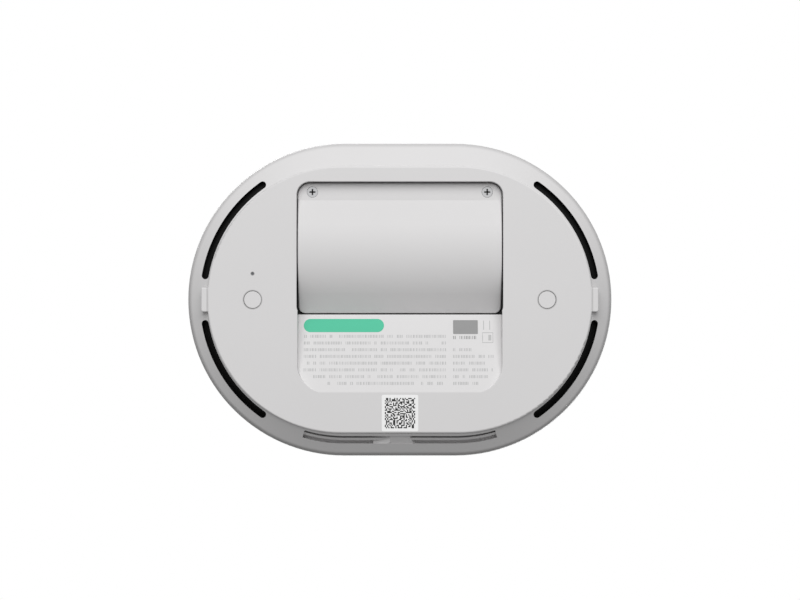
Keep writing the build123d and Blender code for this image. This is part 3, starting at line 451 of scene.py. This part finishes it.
def grid_mesh(name, points, closed, uv=None):
    """Mesh of a (rows, columns, 3) array: each cell of the grid is a quad, and a closed way joins up its ends."""
    rows, columns = points.shape[:2]
    index = np.arange(rows * columns).reshape(rows, columns)
    if closed[0]:
        index = np.concatenate([index, index[:1]], 0)
    if closed[1]:
        index = np.concatenate([index, index[:, :1]], 1)
    quads = np.stack([index[:-1, :-1], index[1:, :-1], index[1:, 1:], index[:-1, 1:]], -1).reshape(-1, 4)
    return quad_mesh(name, points.reshape(-1, 3), quads, uv)


def quad_mesh(name, points, quads, uv=None, smooth=True):
    """Object with the given vertices and quads. uv, if given, has one pair for each corner of each quad."""
    mesh = bpy.data.meshes.new(name)
    mesh.vertices.add(len(points))
    mesh.vertices.foreach_set("co", np.asarray(points, float).ravel())
    mesh.loops.add(quads.size)
    mesh.loops.foreach_set("vertex_index", quads.ravel())
    mesh.polygons.add(len(quads))
    mesh.polygons.foreach_set("loop_start", np.arange(0, quads.size, 4))
    mesh.polygons.foreach_set("use_smooth", np.full(len(quads), smooth))
    mesh.update(calc_edges=True)
    if uv is not None:
        layer = mesh.uv_layers.new(name="UVMap")
        layer.data.foreach_set("uv", np.asarray(uv, float).ravel())
    mesh.validate()
    made = bpy.data.objects.new(name, mesh)
    bpy.context.collection.objects.link(made)
    return made


def dress(made, material, body=HOME, stands_for=()):
    """Gives a new piece its material and its body, and hides the nodes it stands for."""
    made.data.materials.append(material)
    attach(made, body)
    if stands_for:
        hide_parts(*stands_for)


def finish_nodes(material, *names):
    """Puts a material on carried CAD nodes."""
    for name in names:
        for held in nodes[name].material_slots:
            held.material = material


def cells_to_print(name, corners, drop):
    """Flat print of many quads. corners is (count, 4, 2) in millimetres, and drop gives the height at each point."""
    flat = corners.reshape(-1, 2) * MM
    points = np.concatenate([flat, drop(flat)[:, None]], 1)
    return quad_mesh(name, points, np.arange(len(points)).reshape(-1, 4), smooth=False)


def rectangles(x, y, width, height):
    """(count, 4, 2) corners of upright rectangles from arrays of their low corners and sizes."""
    x, y, width, height = np.broadcast_arrays(x, y, width, height)
    across = np.stack([x, x, x + width, x + width], -1)
    up = np.stack([y, y + height, y + height, y], -1)
    return np.stack([across, up], -1)


def circle(radius, steps):
    """Closed path of a circle round the origin."""
    turn = np.linspace(0, 2 * np.pi, steps + 1)
    return np.stack([np.cos(turn), np.sin(turn)], -1) * radius


def ribbon(path, width):
    """(count, 4, 2) corners of a band along a path of (x, y) points. Its pieces share an edge at each bend."""
    path = np.asarray(path, float)
    run = np.gradient(path, axis=0)
    side = np.stack([-run[:, 1], run[:, 0]], -1) / np.linalg.norm(run, axis=1)[:, None] * width / 2
    left, right = path + side, path - side
    return np.stack([right[:-1], left[:-1], left[1:], right[1:]], 1)


def strips(left, right, y):
    """(count, 4, 2) corners of strips across a shape, from where its two sides are at each height."""
    left, right = np.stack([left, y], -1), np.stack([right, y], -1)
    return np.stack([left[:-1], left[1:], right[1:], right[:-1]], 1)


def pill_quads(x0, y0, x1, y1, steps=12):
    """(count, 4, 2) corners of a pill: strips whose ends follow a half circle."""
    radius = (y1 - y0) / 2
    turn = np.linspace(0, np.pi, 2 * steps + 1)
    y = (y0 + y1) / 2 - radius * np.cos(turn)
    left = x0 + radius - radius * np.sin(turn)
    right = x1 - radius + radius * np.sin(turn)
    return strips(left, right, y)


def rounded_quads(x0, y0, x1, y1, radius, steps=5):
    """(count, 4, 2) corners of a rounded rectangle, as strips across it."""
    turn = np.linspace(0, np.pi / 2, steps + 1)
    inset = radius * (1 - np.sin(turn))
    y = np.concatenate([y0 + radius * (1 - np.cos(turn)), (y1 - radius * (1 - np.cos(turn)))[::-1]])
    inset = np.concatenate([inset, inset[::-1]])
    return strips(x0 + inset, x1 - inset, y)


def underside_height(name, x, y):
    """Height in metres of a node's lowest surface over a point given in millimetres."""
    mesh = nodes[name].data
    tree = BVHTree.FromPolygons([v.co for v in mesh.vertices], [p.vertices for p in mesh.polygons])
    hit = tree.ray_cast(Vector((x * MM, y * MM, PROBE)), Vector((0, 0, 1)))
    if hit[0] is None:
        raise RuntimeError(f"nothing of {name} over {x}, {y}")
    return hit[0].z


def flat_at(height):
    return lambda flat: np.full(len(flat), height)


def sloped_floor(node, y0, y1):
    """Height just below a floor that slopes evenly from y0 to y1, measured in the middle of the object."""
    low, high = underside_height(node, 0.0, y0), underside_height(node, 0.0, y1)
    slope = (high - low) / ((y1 - y0) * MM)
    return lambda flat: low + (flat[:, 1] - y0 * MM) * slope - PRINT_LIFT


# Settings


class SpeakerStage(bpy.types.PropertyGroup):
    """Camera distance, lights and floor."""

    distance: FloatProperty(name="Distance", description="Camera to underside", default=0.8, unit="LENGTH")
    photo_width: FloatProperty(name="Width shown", description="Width that the picture spans at the underside",
                               default=0.2976, unit="LENGTH")
    key_tilt: FloatProperty(name="Key tilt", description="Tilt of the lower key light towards the front",
                            default=np.radians(35.8), subtype="ANGLE")
    key: FloatProperty(name="Key", description="Strength of the key light", default=2.66)
    softness: FloatProperty(name="Softness", description="Apparent size of the key light",
                            default=np.radians(50.0), subtype="ANGLE")
    panel_distance: FloatProperty(name="Panel distance", description="Distance of the lower key light",
                                  default=1.35, unit="LENGTH")
    upper: FloatProperty(name="Upper", description="Strength of each light over the object", default=1.32)
    upper_softness: FloatProperty(name="Upper softness", description="Apparent size of the lights over the object",
                                  default=np.radians(24.0), subtype="ANGLE")
    ambient: FloatProperty(name="Ambient", description="Strength of the room's light", default=0.27)
    floor_size: FloatProperty(name="Floor", description="Radius of the floor", default=4.0, unit="LENGTH")
    floor_fade: FloatProperty(name="Fade from", description="Distance at which the floor starts to fade", default=0.48,
                              unit="LENGTH")
    floor_end: FloatProperty(name="Fade to", description="Distance at which the floor is gone", default=2.298,
                             unit="LENGTH")
    floor_colour: FloatVectorProperty(name="Floor colour", description="Colour of the floor", subtype="COLOR",
                                      default=(0.94, 0.94, 0.94))


class SpeakerFinish(bpy.types.PropertyGroup):
    """Colours of the housing and of what shows."""

    housing: FloatVectorProperty(name="Housing", description="Light plastic of the housing", subtype="COLOR",
                                 default=(0.677, 0.669, 0.671))
    cloth_light: FloatVectorProperty(name="Light yarn", description="Light yarn of the sleeve", subtype="COLOR",
                                     default=(0.62, 0.63, 0.64))
    cloth_dark: FloatVectorProperty(name="Dark yarn", description="Dark yarn of the sleeve", subtype="COLOR",
                                    default=(0.24, 0.25, 0.27))
    mesh: FloatVectorProperty(name="Mesh", description="Acoustic mesh in the slots", subtype="COLOR",
                              default=(0.012, 0.012, 0.012))
    pill: FloatVectorProperty(name="Pill", description="Printed pill in the scoop", subtype="COLOR",
                              default=(0.070, 0.485, 0.303))
    ink: FloatVectorProperty(name="Ink", description="Fine grey print", subtype="COLOR", default=(0.46, 0.46, 0.46))
    patch: FloatVectorProperty(name="Patch", description="Plain printed patch", subtype="COLOR",
                               default=(0.265, 0.265, 0.265))
    yarn_pitch: FloatProperty(name="Yarn pitch", description="Distance between yarns", default=0.9 * MM,
                              unit="LENGTH")


class SpeakerPrints(bpy.types.PropertyGroup):
    """Sizes of the prints, in millimetres in the underside's own plan."""

    row_count: IntProperty(name="Rows", description="Rows of fine print in the scoop", default=8)
    row_pitch: FloatProperty(name="Row pitch", description="Distance between rows, mm", default=2.49)
    row_left: FloatProperty(name="Left edge", description="Left edge of the rows, mm", default=-35.9)
    row_right: FloatProperty(name="Right edge", description="Right edge of the rows, mm", default=17.6)
    row_first: FloatProperty(name="First row", description="Middle of the first row, mm", default=13.75)
    mark_height: FloatProperty(name="Mark height", description="Height of the fine print, mm", default=1.1)
    code_x: FloatProperty(name="Label across", description="Middle of the code label, mm", default=0.06)
    code_y: FloatProperty(name="Label along", description="Middle of the code label, mm", default=42.2)
    code_size: FloatProperty(name="Label pattern", description="Side of the label's pattern, mm", default=11.3)
    code_border: FloatProperty(name="Label border", description="White border round the pattern, mm", default=1.15)
    code_cells: IntProperty(name="Label cells", description="Cells along the pattern, an even number", default=26)
    seed: IntProperty(name="Seed", description="Seed of the random marks", default=7)


# Operators


class SpeakerOperator:
    """What all the operators share"""

    bl_options = {"REGISTER"}


class SPEAKER_OT_stage(SpeakerOperator, bpy.types.Operator):
    """Camera under the object, a floor that is seen only from above, a pale room, one light below and two above"""

    bl_idname = "speaker.stage"
    bl_label = "Stage"

    def execute(self, context):
        stage = context.scene.speaker_stage
        context.scene.view_settings.view_transform = "Standard"
        self.camera(context, stage)
        self.floor(stage)
        self.room(context, stage)
        self.panel("lower key", Vector((0, -np.sin(stage.key_tilt), -np.cos(stage.key_tilt))), stage)
        self.sun("upper key", UPPER_KEY, stage)
        self.sun("upper fill", UPPER_FILL, stage)
        return {"FINISHED"}

    def camera(self, context, stage):
        """Looks straight up at the underside, with the front at the top of the picture."""
        data = bpy.data.cameras.new("camera")
        data.sensor_width = SENSOR
        data.lens = SENSOR * stage.distance / stage.photo_width
        camera = bpy.data.objects.new("camera", data)
        place = Matrix.Translation((*AIM, -stage.distance))
        camera.matrix_world = place @ Matrix.Rotation(np.pi, 4, "X")
        context.collection.objects.link(camera)
        context.scene.camera = camera

    def floor(self, stage):
        """Round sheet just under the object. It shows from above, takes shadows, and fades into the pale room."""
        rings = np.array(FLOOR_RINGS) * stage.floor_size
        turn = np.linspace(0, 2 * np.pi, FLOOR_STEPS + 1)[:-1]
        low = cad_box[0][2] - FLOOR_GAP
        points = np.stack([np.outer(rings, np.cos(turn)), np.outer(rings, np.sin(turn)),
                           np.full((len(rings), len(turn)), low)], -1)
        sheet = grid_mesh("floor", points, (False, True))
        material, shade = new_material("floor")
        x, y = shade.axes("XY")
        fade = 1.0 - ((x * x + y * y) ** 0.5).ramp(stage.floor_fade, stage.floor_end)
        seen = shade.node("LightPath", output="Is Camera Ray")
        above = 1.0 - shade.node("NewGeometry", output="Backfacing")
        clear = shade.node("BsdfTransparent", output="BSDF")
        grain = shade.noise(60.0)
        tint = shade.mix(grain, colour(stage.floor_colour, 0.99), colour(stage.floor_colour, 1.01))
        solid = shade.node("BsdfDiffuse", inputs={"Color": tint}, output="BSDF")
        shade.node_output(shade.node("MixShader", inputs={0: seen * above * fade, 1: clear, 2: solid}))
        sheet.data.materials.append(material)

    def room(self, context, stage):
        """Even room light, and plain white where the camera, a reflection or a clear piece looks past the object."""
        world = context.scene.world or bpy.data.worlds.new("room")
        context.scene.world = world
        shade = Shade(world)
        rays = [shade.node("LightPath", output=f"Is {ray} Ray") for ray in ("Camera", "Glossy", "Transmission")]
        white = rays[0].most(rays[1]).most(rays[2])
        strength = white * (1.0 - stage.ambient) + stage.ambient
        back = shade.node("Background", inputs={"Color": (1, 1, 1, 1), "Strength": strength}, output="Background")
        shade.node_output(back, "OutputWorld")

    def lamp(self, name, kind, towards):
        """New light of a kind, turned to shine from a direction."""
        made = bpy.data.objects.new(name, bpy.data.lights.new(name, kind))
        made.rotation_euler = towards.to_track_quat("Z", "Y").to_euler()
        bpy.context.collection.objects.link(made)
        return made

    def sun(self, name, towards, stage):
        """Soft distant light, high enough over the object to leave its lower rim dark."""
        made = self.lamp(name, "SUN", towards)
        made.data.energy, made.data.angle = stage.upper, stage.upper_softness

    def panel(self, name, towards, stage):
        """Round panel near enough that its light falls off a little from front to rear. It is hidden from the
        camera, which would see it through the fading floor."""
        made = self.lamp(name, "AREA", towards)
        made.location = towards * stage.panel_distance
        made.visible_camera = False
        radius = stage.panel_distance * np.tan(stage.softness / 2)
        made.data.shape, made.data.size = "DISK", 2 * radius
        made.data.energy = stage.key * np.pi * (radius ** 2 + stage.panel_distance ** 2)


class SPEAKER_OT_housing(SpeakerOperator, bpy.types.Operator):
    """Light moulded plastic on the shells, plate, door, cap and buttons"""

    bl_idname = "speaker.housing"
    bl_label = "Housing"

    def execute(self, context):
        finish = context.scene.speaker_finish
        matt = {"roughness": 0.55, "gloss": 0.1}
        finish_nodes(moulded_plastic("light plastic", finish.housing), "top_cap")
        finish_nodes(moulded_plastic("door plastic", finish.housing, **matt), "battery_door")
        finish_nodes(moulded_plastic("plate plastic", finish.housing, dark=self.well, edge_shade=self.plate_edges, **matt),
                     "base_plate")
        finish_nodes(moulded_plastic("shell plastic", finish.housing, dark=self.slots, edge_shade=self.rim, **matt),
                     "lower_shell")
        key = moulded_plastic("button plastic", finish.housing, roughness=0.38, grain=0.006 * MM)
        finish_nodes(key, "pairing_button", "reset_button", "volume_up_button", "volume_down_button",
                     "action_button", "mute_button")
        return {"FINISHED"}

    def well(self, shade):
        """Painted shade on the walls of the battery well, from the middle of the door's sides to the rear, where the
        door falls away.
        """
        side, rear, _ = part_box("battery_door")[1]
        x, y, z = shade.axes()
        along = y.ramp(*WELL_SHADE) * (y < rear + SEAM)
        return (abs(x) < side + SEAM) * along * (z > FACE)

    def plate_edges(self, shade):
        """Painted shade on the plate round its two buttons, strongest at the edge of the hole, and a faint darker line
        across the root of each snap tongue."""
        x, y = shade.axes("XY")
        low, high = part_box("reset_button")
        away_x, away_y = abs(x) - abs(low[0] + high[0]) / 2, y - (low[1] + high[1]) / 2
        from_edge = (away_x * away_x + away_y * away_y) ** 0.5 - BUTTON_EDGE
        button_shade = 1.0 - abs(from_edge).ramp(0.0, BUTTON_SHADE_REACH)
        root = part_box("base_plate")[1][0] - TONGUE
        root_line = (1.0 - abs(abs(x) - root).ramp(0.0, ROOT_LINE_HALF)) * (abs(y) < TONGUE_HALF)
        return button_shade.most(root_line * ROOT_LINE_SHARE)

    def rim(self, shade):
        """Painted shade on the upper part of the shell's rounding, strongest at the rear."""
        y, z = shade.axes("YZ")
        behind = y.ramp(-REAR, REAR).most(RIM_FRONT)
        return z.ramp(*RIM_START) * (1.0 - z.ramp(*RIM_END)) * behind

    def slots(self, shade):
        """Painted shade on the walls of the four slots: a strip round the middle of the 45 degree band, deeper than
        its face. Along the long sides and beside the tongues there is none."""
        plate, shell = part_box("base_plate")[1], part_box("lower_shell")[1]
        x, y, z = shade.axes()
        away = abs(x) - (shell[0] - shell[1])
        out = (away * away + y * y) ** 0.5 - plate[1]
        strip = abs(out - SLOT_MIDDLE) < SLOT_HALF
        deep = z > out + SLOT_RISE
        return strip * deep * (away > SLOT_FROM) * (abs(y) > SLOT_GAP)


class SPEAKER_OT_slots(SpeakerOperator, bpy.types.Operator):
    """Black acoustic mesh behind the four slots of the band"""

    bl_idname = "speaker.slots"
    bl_label = "Slot meshes"

    def execute(self, context):
        finish_nodes(acoustic_mesh(context.scene.speaker_finish.mesh), "slot_meshes")
        return {"FINISHED"}


class SPEAKER_OT_sleeve(SpeakerOperator, bpy.types.Operator):
    """Woven sleeve: a closed profile with a rounded hem at each edge, carried round the stadium"""

    bl_idname = "speaker.sleeve"
    bl_label = "Fabric sleeve"

    def execute(self, context):
        finish = context.scene.speaker_finish
        low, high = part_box("fabric_sleeve")
        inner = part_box("grille_frame")[1][1]
        radius, span = high[1], high[0] - high[1]
        thick = radius - inner
        pitch = finish.yarn_pitch
        length = 2 * np.pi * radius + 4 * span
        along = np.linspace(0, length, SLEEVE_STEPS, endpoint=False)
        point, direction = stadium(along, radius, 2 * span)
        offset, height = self.profile(thick, low[2], high[2])
        plan = point[:, None] + direction[:, None] * offset[None, :, None]
        points = np.concatenate([plan, np.broadcast_to(height[None, :, None], plan.shape[:2] + (1,))], -1)
        columns = round(length / pitch)
        u = np.linspace(0, columns * pitch, len(along) + 1)
        v = np.concatenate([height, height[:1]])
        uu, vv = np.meshgrid(u, v, indexing="ij")
        cells = np.stack([uu, vv], -1)
        uv = np.stack([cells[:-1, :-1], cells[1:, :-1], cells[1:, 1:], cells[:-1, 1:]], 2).reshape(-1, 2)
        sleeve = grid_mesh("sleeve", points, (True, True), uv)
        rear = (np.pi * radius + span) * columns * pitch / length
        cloth = speaker_cloth(finish.cloth_light, finish.cloth_dark, pitch, rear)
        dress(sleeve, cloth, stands_for=["fabric_sleeve"])
        return {"FINISHED"}

    def profile(self, thick, low, high):
        """Offsets from the outer face and heights, up the outer face and down the inner one. The edges are half
        circles, and the outer face draws in a little towards each hem."""
        turn = np.linspace(0, np.pi, HEM_STEPS + 1)
        half = thick / 2
        top = np.stack([-half + half * np.cos(turn), high - half + half * np.sin(turn)], 1)
        bottom = np.stack([-half - half * np.cos(turn), low + half - half * np.sin(turn)], 1)
        rise = np.linspace(low + thick, high - thick, OUTER_STEPS)
        hem = HEM_DEPTH * (np.exp(-(rise - low) / HEM_REACH) + np.exp(-(high - rise) / HEM_REACH))
        outer = np.stack([-hem, rise], 1)
        inner = np.stack([np.full(INNER_STEPS, -thick), np.linspace(high - thick, low + thick, INNER_STEPS)], 1)
        profile = np.concatenate([outer, top, inner, bottom])
        return profile[:, 0], profile[:, 1]


class SPEAKER_OT_scoop_prints(SpeakerOperator, bpy.types.Operator):
    """Green pill, rows of meaningless marks and a plain grey patch, printed on the scoop's floor"""

    bl_idname = "speaker.scoop_prints"
    bl_label = "Scoop prints"

    def execute(self, context):
        finish, prints = context.scene.speaker_finish, context.scene.speaker_prints
        drop = sloped_floor("base_plate", *SCOOP_FLOOR)
        pill = cells_to_print("pill_print", pill_quads(*PILL), drop)
        dress(pill, printed("green ink", finish.pill))
        ink, dark_ink = printed("grey ink", finish.ink), printed("patch ink", finish.patch)
        rng = np.random.default_rng(prints.seed)
        left, right, tall = prints.row_left, prints.row_right, prints.mark_height
        heights = prints.row_first + np.arange(prints.row_count) * prints.row_pitch
        indents = np.zeros(prints.row_count)
        indents[-2:] = LAST_INDENTS
        rows = [self.row(rng, left + indent, right, y, tall) for indent, y in zip(indents, heights)]
        rows += [self.row(rng, SIDE_LEFT, SIDE_LEFT + reach, y, tall) for reach, y in zip(SIDE_ROWS, heights[2:])]
        x0, y0, x1, y1 = SIDE_BOX
        box = [(x0, SIDE_BOX_END), (x0, y1), (x1, y1), (x1, y0), (x0, y0), (x0, SIDE_BOX_END)]
        signs = [ribbon(box, THIN_LINE), rectangles(*SIDE_BARS)]
        dress(cells_to_print("print_rows", np.concatenate(rows + signs), drop), ink)
        foot = self.row(rng, PATCH[0], PATCH[2], *PATCH_FOOT)
        patch = np.concatenate([rounded_quads(*PATCH, radius=0.3), foot])
        dress(cells_to_print("grey_patch", patch, drop), dark_ink)
        return {"FINISHED"}

    def row(self, rng, left, right, middle, tall):
        """Meaningless print between two edges: a comb of upright strokes of one height at an even pitch, each of a
        random width, parted into groups by gaps."""
        spots = left + STROKE_PITCH * np.arange(int((right - left) / STROKE_PITCH))
        count = len(spots)
        width = rng.uniform(*STROKE_WIDTHS, count)
        kept = np.repeat(rng.random(count // 2 + 1) > STROKES_OUT, 2)[:count]
        return rectangles(spots, middle - tall / 2, width, tall)[kept]


class SPEAKER_OT_code_label(SpeakerOperator, bpy.types.Operator):
    """White label with random square cells on the plate. The cells carry no code"""

    bl_idname = "speaker.code_label"
    bl_label = "Code label"

    def execute(self, context):
        prints = context.scene.speaker_prints
        side, count = prints.code_size, prints.code_cells
        plate = underside_height("base_plate", prints.code_x, prints.code_y)
        x0, y0 = prints.code_x - side / 2, prints.code_y - side / 2
        border = prints.code_border
        outline = rounded_quads(x0 - border, y0 - border, x0 + side + border, y0 + side + border, radius=0.6)
        label = cells_to_print("white_label", outline, flat_at(plate - PRINT_LIFT))
        dress(label, printed("label film", (0.88, 0.88, 0.88), 0.35))
        cell = side / count
        row, column = np.nonzero(self.cells(np.random.default_rng(prints.seed + 1), count))
        marks = rectangles(x0 + column * cell, y0 + row * cell, cell, cell)
        lower = flat_at(plate - 2 * PRINT_LIFT)
        dress(cells_to_print("label_cells", marks, lower), printed("black ink", (0.02, 0.02, 0.02)))
        return {"FINISHED"}

    def cells(self, rng, count):
        """Even random pattern: each block of two by two cells has two inked ones, drawn from its six choices."""
        choices = np.array([[1, 1, 0, 0], [1, 0, 1, 0], [1, 0, 0, 1], [0, 1, 1, 0], [0, 1, 0, 1], [0, 0, 1, 1]])
        half = count // 2
        blocks = choices[rng.integers(0, len(choices), (half, half))].reshape(half, half, 2, 2)
        return blocks.transpose(0, 2, 1, 3).reshape(2 * half, 2 * half)


class SPEAKER_OT_icons(SpeakerOperator, bpy.types.Operator):
    """Plain icons on the top buttons: plus, minus, dot and struck-out ring"""

    bl_idname = "speaker.icons"
    bl_label = "Button icons"

    def execute(self, context):
        ink = printed("icon ink", (0.10, 0.10, 0.11))
        line, half = ICON_LINE, ICON_LINE / 2
        dash = ribbon([(-BAR_HALF, 0), (0, 0), (BAR_HALF, 0)], line)
        post = ribbon([(0, -BAR_HALF), (0, -half)], line), ribbon([(0, half), (0, BAR_HALF)], line)
        across = ribbon([(-MUTE_HALF, MUTE_HALF), (0, 0), (MUTE_HALF, -MUTE_HALF)], line)
        icons = {"volume_up_button": [dash, *post], "volume_down_button": [dash],
                 "action_button": [ribbon(circle(DOT_RADIUS, 48), DOT_WIDTH)],
                 "mute_button": [ribbon(circle(MUTE_RADIUS, 48), line), across]}
        for name, parts in icons.items():
            low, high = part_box(name)
            middle = (np.array(low[:2]) + np.array(high[:2])) / 2 / MM
            corners = np.concatenate(parts)[:, ::-1] + middle
            made = cells_to_print(name + "_icon", corners, flat_at(high[2] + PRINT_LIFT))
            dress(made, ink, body=name)
        return {"FINISHED"}


class SPEAKER_OT_lights(SpeakerOperator, bpy.types.Operator):
    """Milky light ring, clear light pipe and the small lights"""

    bl_idname = "speaker.lights"
    bl_label = "Lights"

    def execute(self, context):
        finish_nodes(milky("light ring", (0.80, 0.83, 0.85), 0.04), "light_ring")
        finish_nodes(milky("clear acrylic", (0.10, 0.10, 0.11)), "light_pipe")
        finish_nodes(milky("light chips", (0.88, 0.86, 0.74)), "status_led", "ring_lights")
        low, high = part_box("light_pipe")
        x, y = (low[0] + high[0]) / 2 / MM, (low[1] + high[1]) / 2 / MM
        # A grey ring printed round the light hole, which makes its dark dot wider.
        ring = ribbon(circle(STATUS_RADIUS, 32) + (x, y), STATUS_WIDTH)
        plate = underside_height("base_plate", x + BESIDE_STATUS, y)
        dress(cells_to_print("status_ring", ring, flat_at(plate - PRINT_LIFT)),
              printed("grey ring round light hole", (0.30, 0.30, 0.30)))
        return {"FINISHED"}


class SPEAKER_OT_battery(SpeakerOperator, bpy.types.Operator):
    """Wrapped cells, nickel contacts, black tray and foam pad"""

    bl_idname = "speaker.battery"
    bl_label = "Battery"

    def execute(self, context):
        finish_nodes(cell_wrap((0.07, 0.28, 0.50)), "battery_cells")
        finish_nodes(metal("nickel strip", (0.76, 0.74, 0.69), 0.25), "battery_contacts")
        finish_nodes(moulded_plastic("tray plastic", (0.045, 0.045, 0.05)), "battery_tray")
        finish_nodes(rubber("foam", (0.10, 0.10, 0.10), 0.8), "cell_pad")
        return {"FINISHED"}


class SPEAKER_OT_electronics(SpeakerOperator, bpy.types.Operator):
    """Boards and what is soldered on them"""

    bl_idname = "speaker.electronics"
    bl_label = "Electronics"

    def execute(self, context):
        finish_nodes(solder_board((0.02, 0.17, 0.08)), "main_board", "left_button_board", "right_button_board",
                     "top_board")
        finish_nodes(moulded_plastic("switch plastic", (0.05, 0.05, 0.05), 0.4), "pairing_switch", "reset_switch",
                     "top_switches")
        finish_nodes(metal("tinned steel", (0.70, 0.70, 0.71), 0.28), "shield_can", "power_inlet", "microphones")
        finish_nodes(metal("anodised aluminium", (0.60, 0.61, 0.62), 0.4), "heat_sink")
        finish_nodes(moulded_plastic("nylon", (0.80, 0.76, 0.64), 0.5), "board_connectors")
        finish_nodes(wound_copper(), "wifi_antennas", "voice_coil")
        finish_nodes(rubber("gasket rubber", (0.04, 0.04, 0.04)), "mic_gaskets", "box_gasket")
        return {"FINISHED"}


class SPEAKER_OT_acoustics(SpeakerOperator, bpy.types.Operator):
    """Speaker box, driver, passive radiator and grille frame"""

    bl_idname = "speaker.acoustics"
    bl_label = "Acoustics"

    def execute(self, context):
        finish_nodes(moulded_plastic("black plastic", (0.035, 0.035, 0.038), 0.55), "speaker_box", "box_lid",
                     "radiator_frame", "grille_frame", "radiator_diaphragm")
        finish_nodes(rubber("butyl rubber", (0.03, 0.03, 0.03), 0.5), "driver_surround", "radiator_surround")
        finish_nodes(pulp((0.07, 0.07, 0.07)), "driver_cone", "dust_cap")
        finish_nodes(rubber("treated cloth", (0.50, 0.36, 0.16), 0.75), "driver_spider")
        finish_nodes(metal("coated steel", (0.16, 0.16, 0.17), 0.45), "driver_basket")
        finish_nodes(metal("plated steel", (0.64, 0.64, 0.65), 0.3), "driver_top_plate", "driver_yoke",
                     "radiator_weight")
        finish_nodes(moulded_plastic("ferrite", (0.08, 0.08, 0.09), 0.5), "driver_magnet")
        return {"FINISHED"}


class SPEAKER_OT_fasteners(SpeakerOperator, bpy.types.Operator):
    """Steel on the screws"""

    bl_idname = "speaker.fasteners"
    bl_label = "Fasteners"

    def execute(self, context):
        finish_nodes(metal("screw steel", (0.55, 0.55, 0.56), 0.35), "button_board_screws", "main_board_screws",
                     "stack_screws", "driver_screws", "radiator_screws")
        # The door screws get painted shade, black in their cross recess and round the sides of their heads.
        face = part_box("door_screws")[0][2]
        recess = face + RECESS[0], face + RECESS[1]
        finish_nodes(metal("door screw steel", (0.30, 0.30, 0.305), 0.5, dark_zone=recess), "door_screws")
        return {"FINISHED"}


class SPEAKER_PT_panel(bpy.types.Panel):
    """Lists the operators in the 3D view's sidebar"""

    bl_idname = "SPEAKER_PT_panel"
    bl_label = "Smart speaker"
    bl_space_type = "VIEW_3D"
    bl_region_type = "UI"
    bl_category = "Speaker"

    def draw(self, context):
        for operator in OPERATORS:
            self.layout.operator(operator.bl_idname)


OPERATORS = (SPEAKER_OT_stage, SPEAKER_OT_housing, SPEAKER_OT_slots, SPEAKER_OT_sleeve, SPEAKER_OT_scoop_prints,
             SPEAKER_OT_code_label, SPEAKER_OT_icons, SPEAKER_OT_lights, SPEAKER_OT_battery,
             SPEAKER_OT_electronics, SPEAKER_OT_acoustics, SPEAKER_OT_fasteners)
SETTINGS = {"speaker_stage": SpeakerStage, "speaker_finish": SpeakerFinish, "speaker_prints": SpeakerPrints}


def register():
    for group in (*SETTINGS.values(), *OPERATORS, SPEAKER_PT_panel):
        bpy.utils.register_class(group)
    for name, group in SETTINGS.items():
        setattr(bpy.types.Scene, name, PointerProperty(type=group))


def unregister():
    for name in SETTINGS:
        delattr(bpy.types.Scene, name)
    for group in (SPEAKER_PT_panel, *reversed(OPERATORS), *SETTINGS.values()):
        bpy.utils.unregister_class(group)


def main():
    register()
    for operator in OPERATORS:
        family, name = operator.bl_idname.split(".")
        getattr(getattr(bpy.ops, family), name)()


if __name__ == "__main__":
    main()
